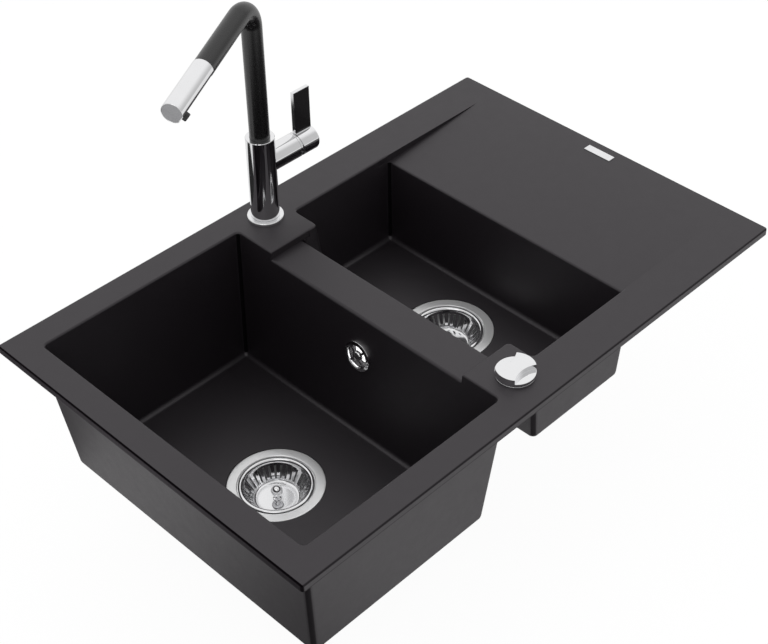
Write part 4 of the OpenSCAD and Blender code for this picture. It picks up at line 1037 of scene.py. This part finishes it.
def floor_finish():
    """White to the camera under a faint shadow, dimmer to reflections, which also see two dark
    patches of painted shade.
    """
    camera_share, other_share = 0.92, 0.45
    f = Finish("Studio floor", Roughness=0.9, Specular_IOR_Level=0)
    glow = f.add("ShaderNodeEmission", {}, {"Color": (1, 1, 1), "Strength": 1.035})
    camera_ray = f.add("ShaderNodeLightPath", out="Is Camera Ray")
    # Two dark patches of painted shade that only reflections see, one behind the sink and one near
    # its front left, which the sink's walls and the spray's face reflect
    painted_card = f.patch((-0.27, 0.5, 0), 0.22, 0.26)
    floor_shade = f.patch((-0.48, -0.18, 0), 0.04, 0.36) * 0.85
    dark = (painted_card + floor_shade) * (1 - camera_ray)
    share = camera_ray * camera_share + (1 - camera_ray) * (1 - dark) * other_share
    mix = f.add("ShaderNodeMixShader", {}, {0: share, 1: Value(f, f.shader.outputs[0]), 2: glow})
    f.set(Base_Color=f.blend(dark, FLOOR_PALE, FLOOR_DARK))
    f.feed(f.tree.nodes["Material Output"].inputs["Surface"], mix)
    return f.material


class SINK_OT_studio(bpy.types.Operator):
    """Sets up the camera, the room, the soft box and the floor"""
    bl_idname = "sink.studio"
    bl_label = "Studio"

    def execute(self, context):
        scene = context.scene
        light = scene.studio_light
        right, above, back = camera_axes()
        lens = bpy.data.cameras.new("Camera")
        lens.sensor_width = 36
        lens.lens = FOCUS_PIXELS / PHOTO_WIDTH * lens.sensor_width
        lens.shift_x = -(CENTRE_PIXEL[0] - PHOTO_WIDTH / 2) / PHOTO_WIDTH
        lens.shift_y = (CENTRE_PIXEL[1] - PHOTO_HEIGHT / 2) / PHOTO_WIDTH
        lens.clip_start, lens.clip_end = 0.1, 50
        camera = bpy.data.objects.new("Camera", lens)
        scene.collection.objects.link(camera)
        camera.matrix_world = (
            Matrix.Translation(CAMERA_PLACE) @ Matrix((right, above, back)).transposed().to_4x4())
        scene.camera = camera
        scene.view_settings.view_transform = "Standard"
        world = bpy.data.worlds.new("Room")
        scene.world = world
        world.use_nodes = True
        room = Nodes(world.node_tree)
        backdrop = room.tree.nodes["Background"]
        view = room.add("ShaderNodeTexCoord", out="Generated")
        dim = light.room * light.far_side
        walls = room.rise(room.along(view, BRIGHT_WALL), 0.35, 0.8, dim, light.room)
        camera_ray = room.add("ShaderNodeLightPath", out="Is Camera Ray")
        strength = room.add("ShaderNodeMix", {}, {0: camera_ray, 2: walls, 3: 1})
        room.feed(backdrop.inputs["Color"], (1, 1, 1))
        room.feed(backdrop.inputs["Strength"], strength)
        soft_box("Soft box", (-1.2, -0.4, 1.9), (0, 0, 0), (1.2, 1.2), light.lamp)
        clear()
        bpy.ops.mesh.primitive_plane_add(size=12, location=(0, 0, CAD_BOUNDS[0].z - 0.0005))
        floor = context.object
        floor.name = "studio_floor"
        floor.data.materials.append(floor_finish())
        return {"FINISHED"}


class SINK_PT_panel(bpy.types.Panel):
    """Lists the sink's pieces and their sizes"""
    bl_idname = "SINK_PT_panel"
    bl_label = "Sink"
    bl_space_type = "VIEW_3D"
    bl_region_type = "UI"
    bl_category = "Sink"

    def draw(self, context):
        layout = self.layout
        for group, kind in GROUPS.items():
            box = layout.box()
            values = getattr(context.scene, group)
            for key in kind.__annotations__:
                box.prop(values, key)
        for operator in OPERATORS:
            layout.operator(operator.bl_idname)


OPERATORS = [
    SINK_OT_casting, SINK_OT_wastes, SINK_OT_overflow, SINK_OT_knob, SINK_OT_tap,
    SINK_OT_spout, SINK_OT_spray, SINK_OT_lever, SINK_OT_studio,
]
CLASSES = [*GROUPS.values(), *OPERATORS, SINK_PT_panel]


def register():
    for cls in CLASSES:
        bpy.utils.register_class(cls)
    for group, kind in GROUPS.items():
        setattr(bpy.types.Scene, group, PointerProperty(type=kind))


def unregister():
    for group in GROUPS:
        delattr(bpy.types.Scene, group)
    for cls in reversed(CLASSES):
        bpy.utils.unregister_class(cls)


def main():
    register()
    FINISHES.update(make_finishes(bpy.context.scene.sink_colours))
    bpy.ops.sink.casting()
    bpy.ops.sink.wastes()
    bpy.ops.sink.overflow()
    bpy.ops.sink.knob()
    bpy.ops.sink.tap()
    bpy.ops.sink.spout()
    bpy.ops.sink.spray()
    bpy.ops.sink.lever()
    bpy.ops.sink.studio()


if __name__ == "__main__":
    main()
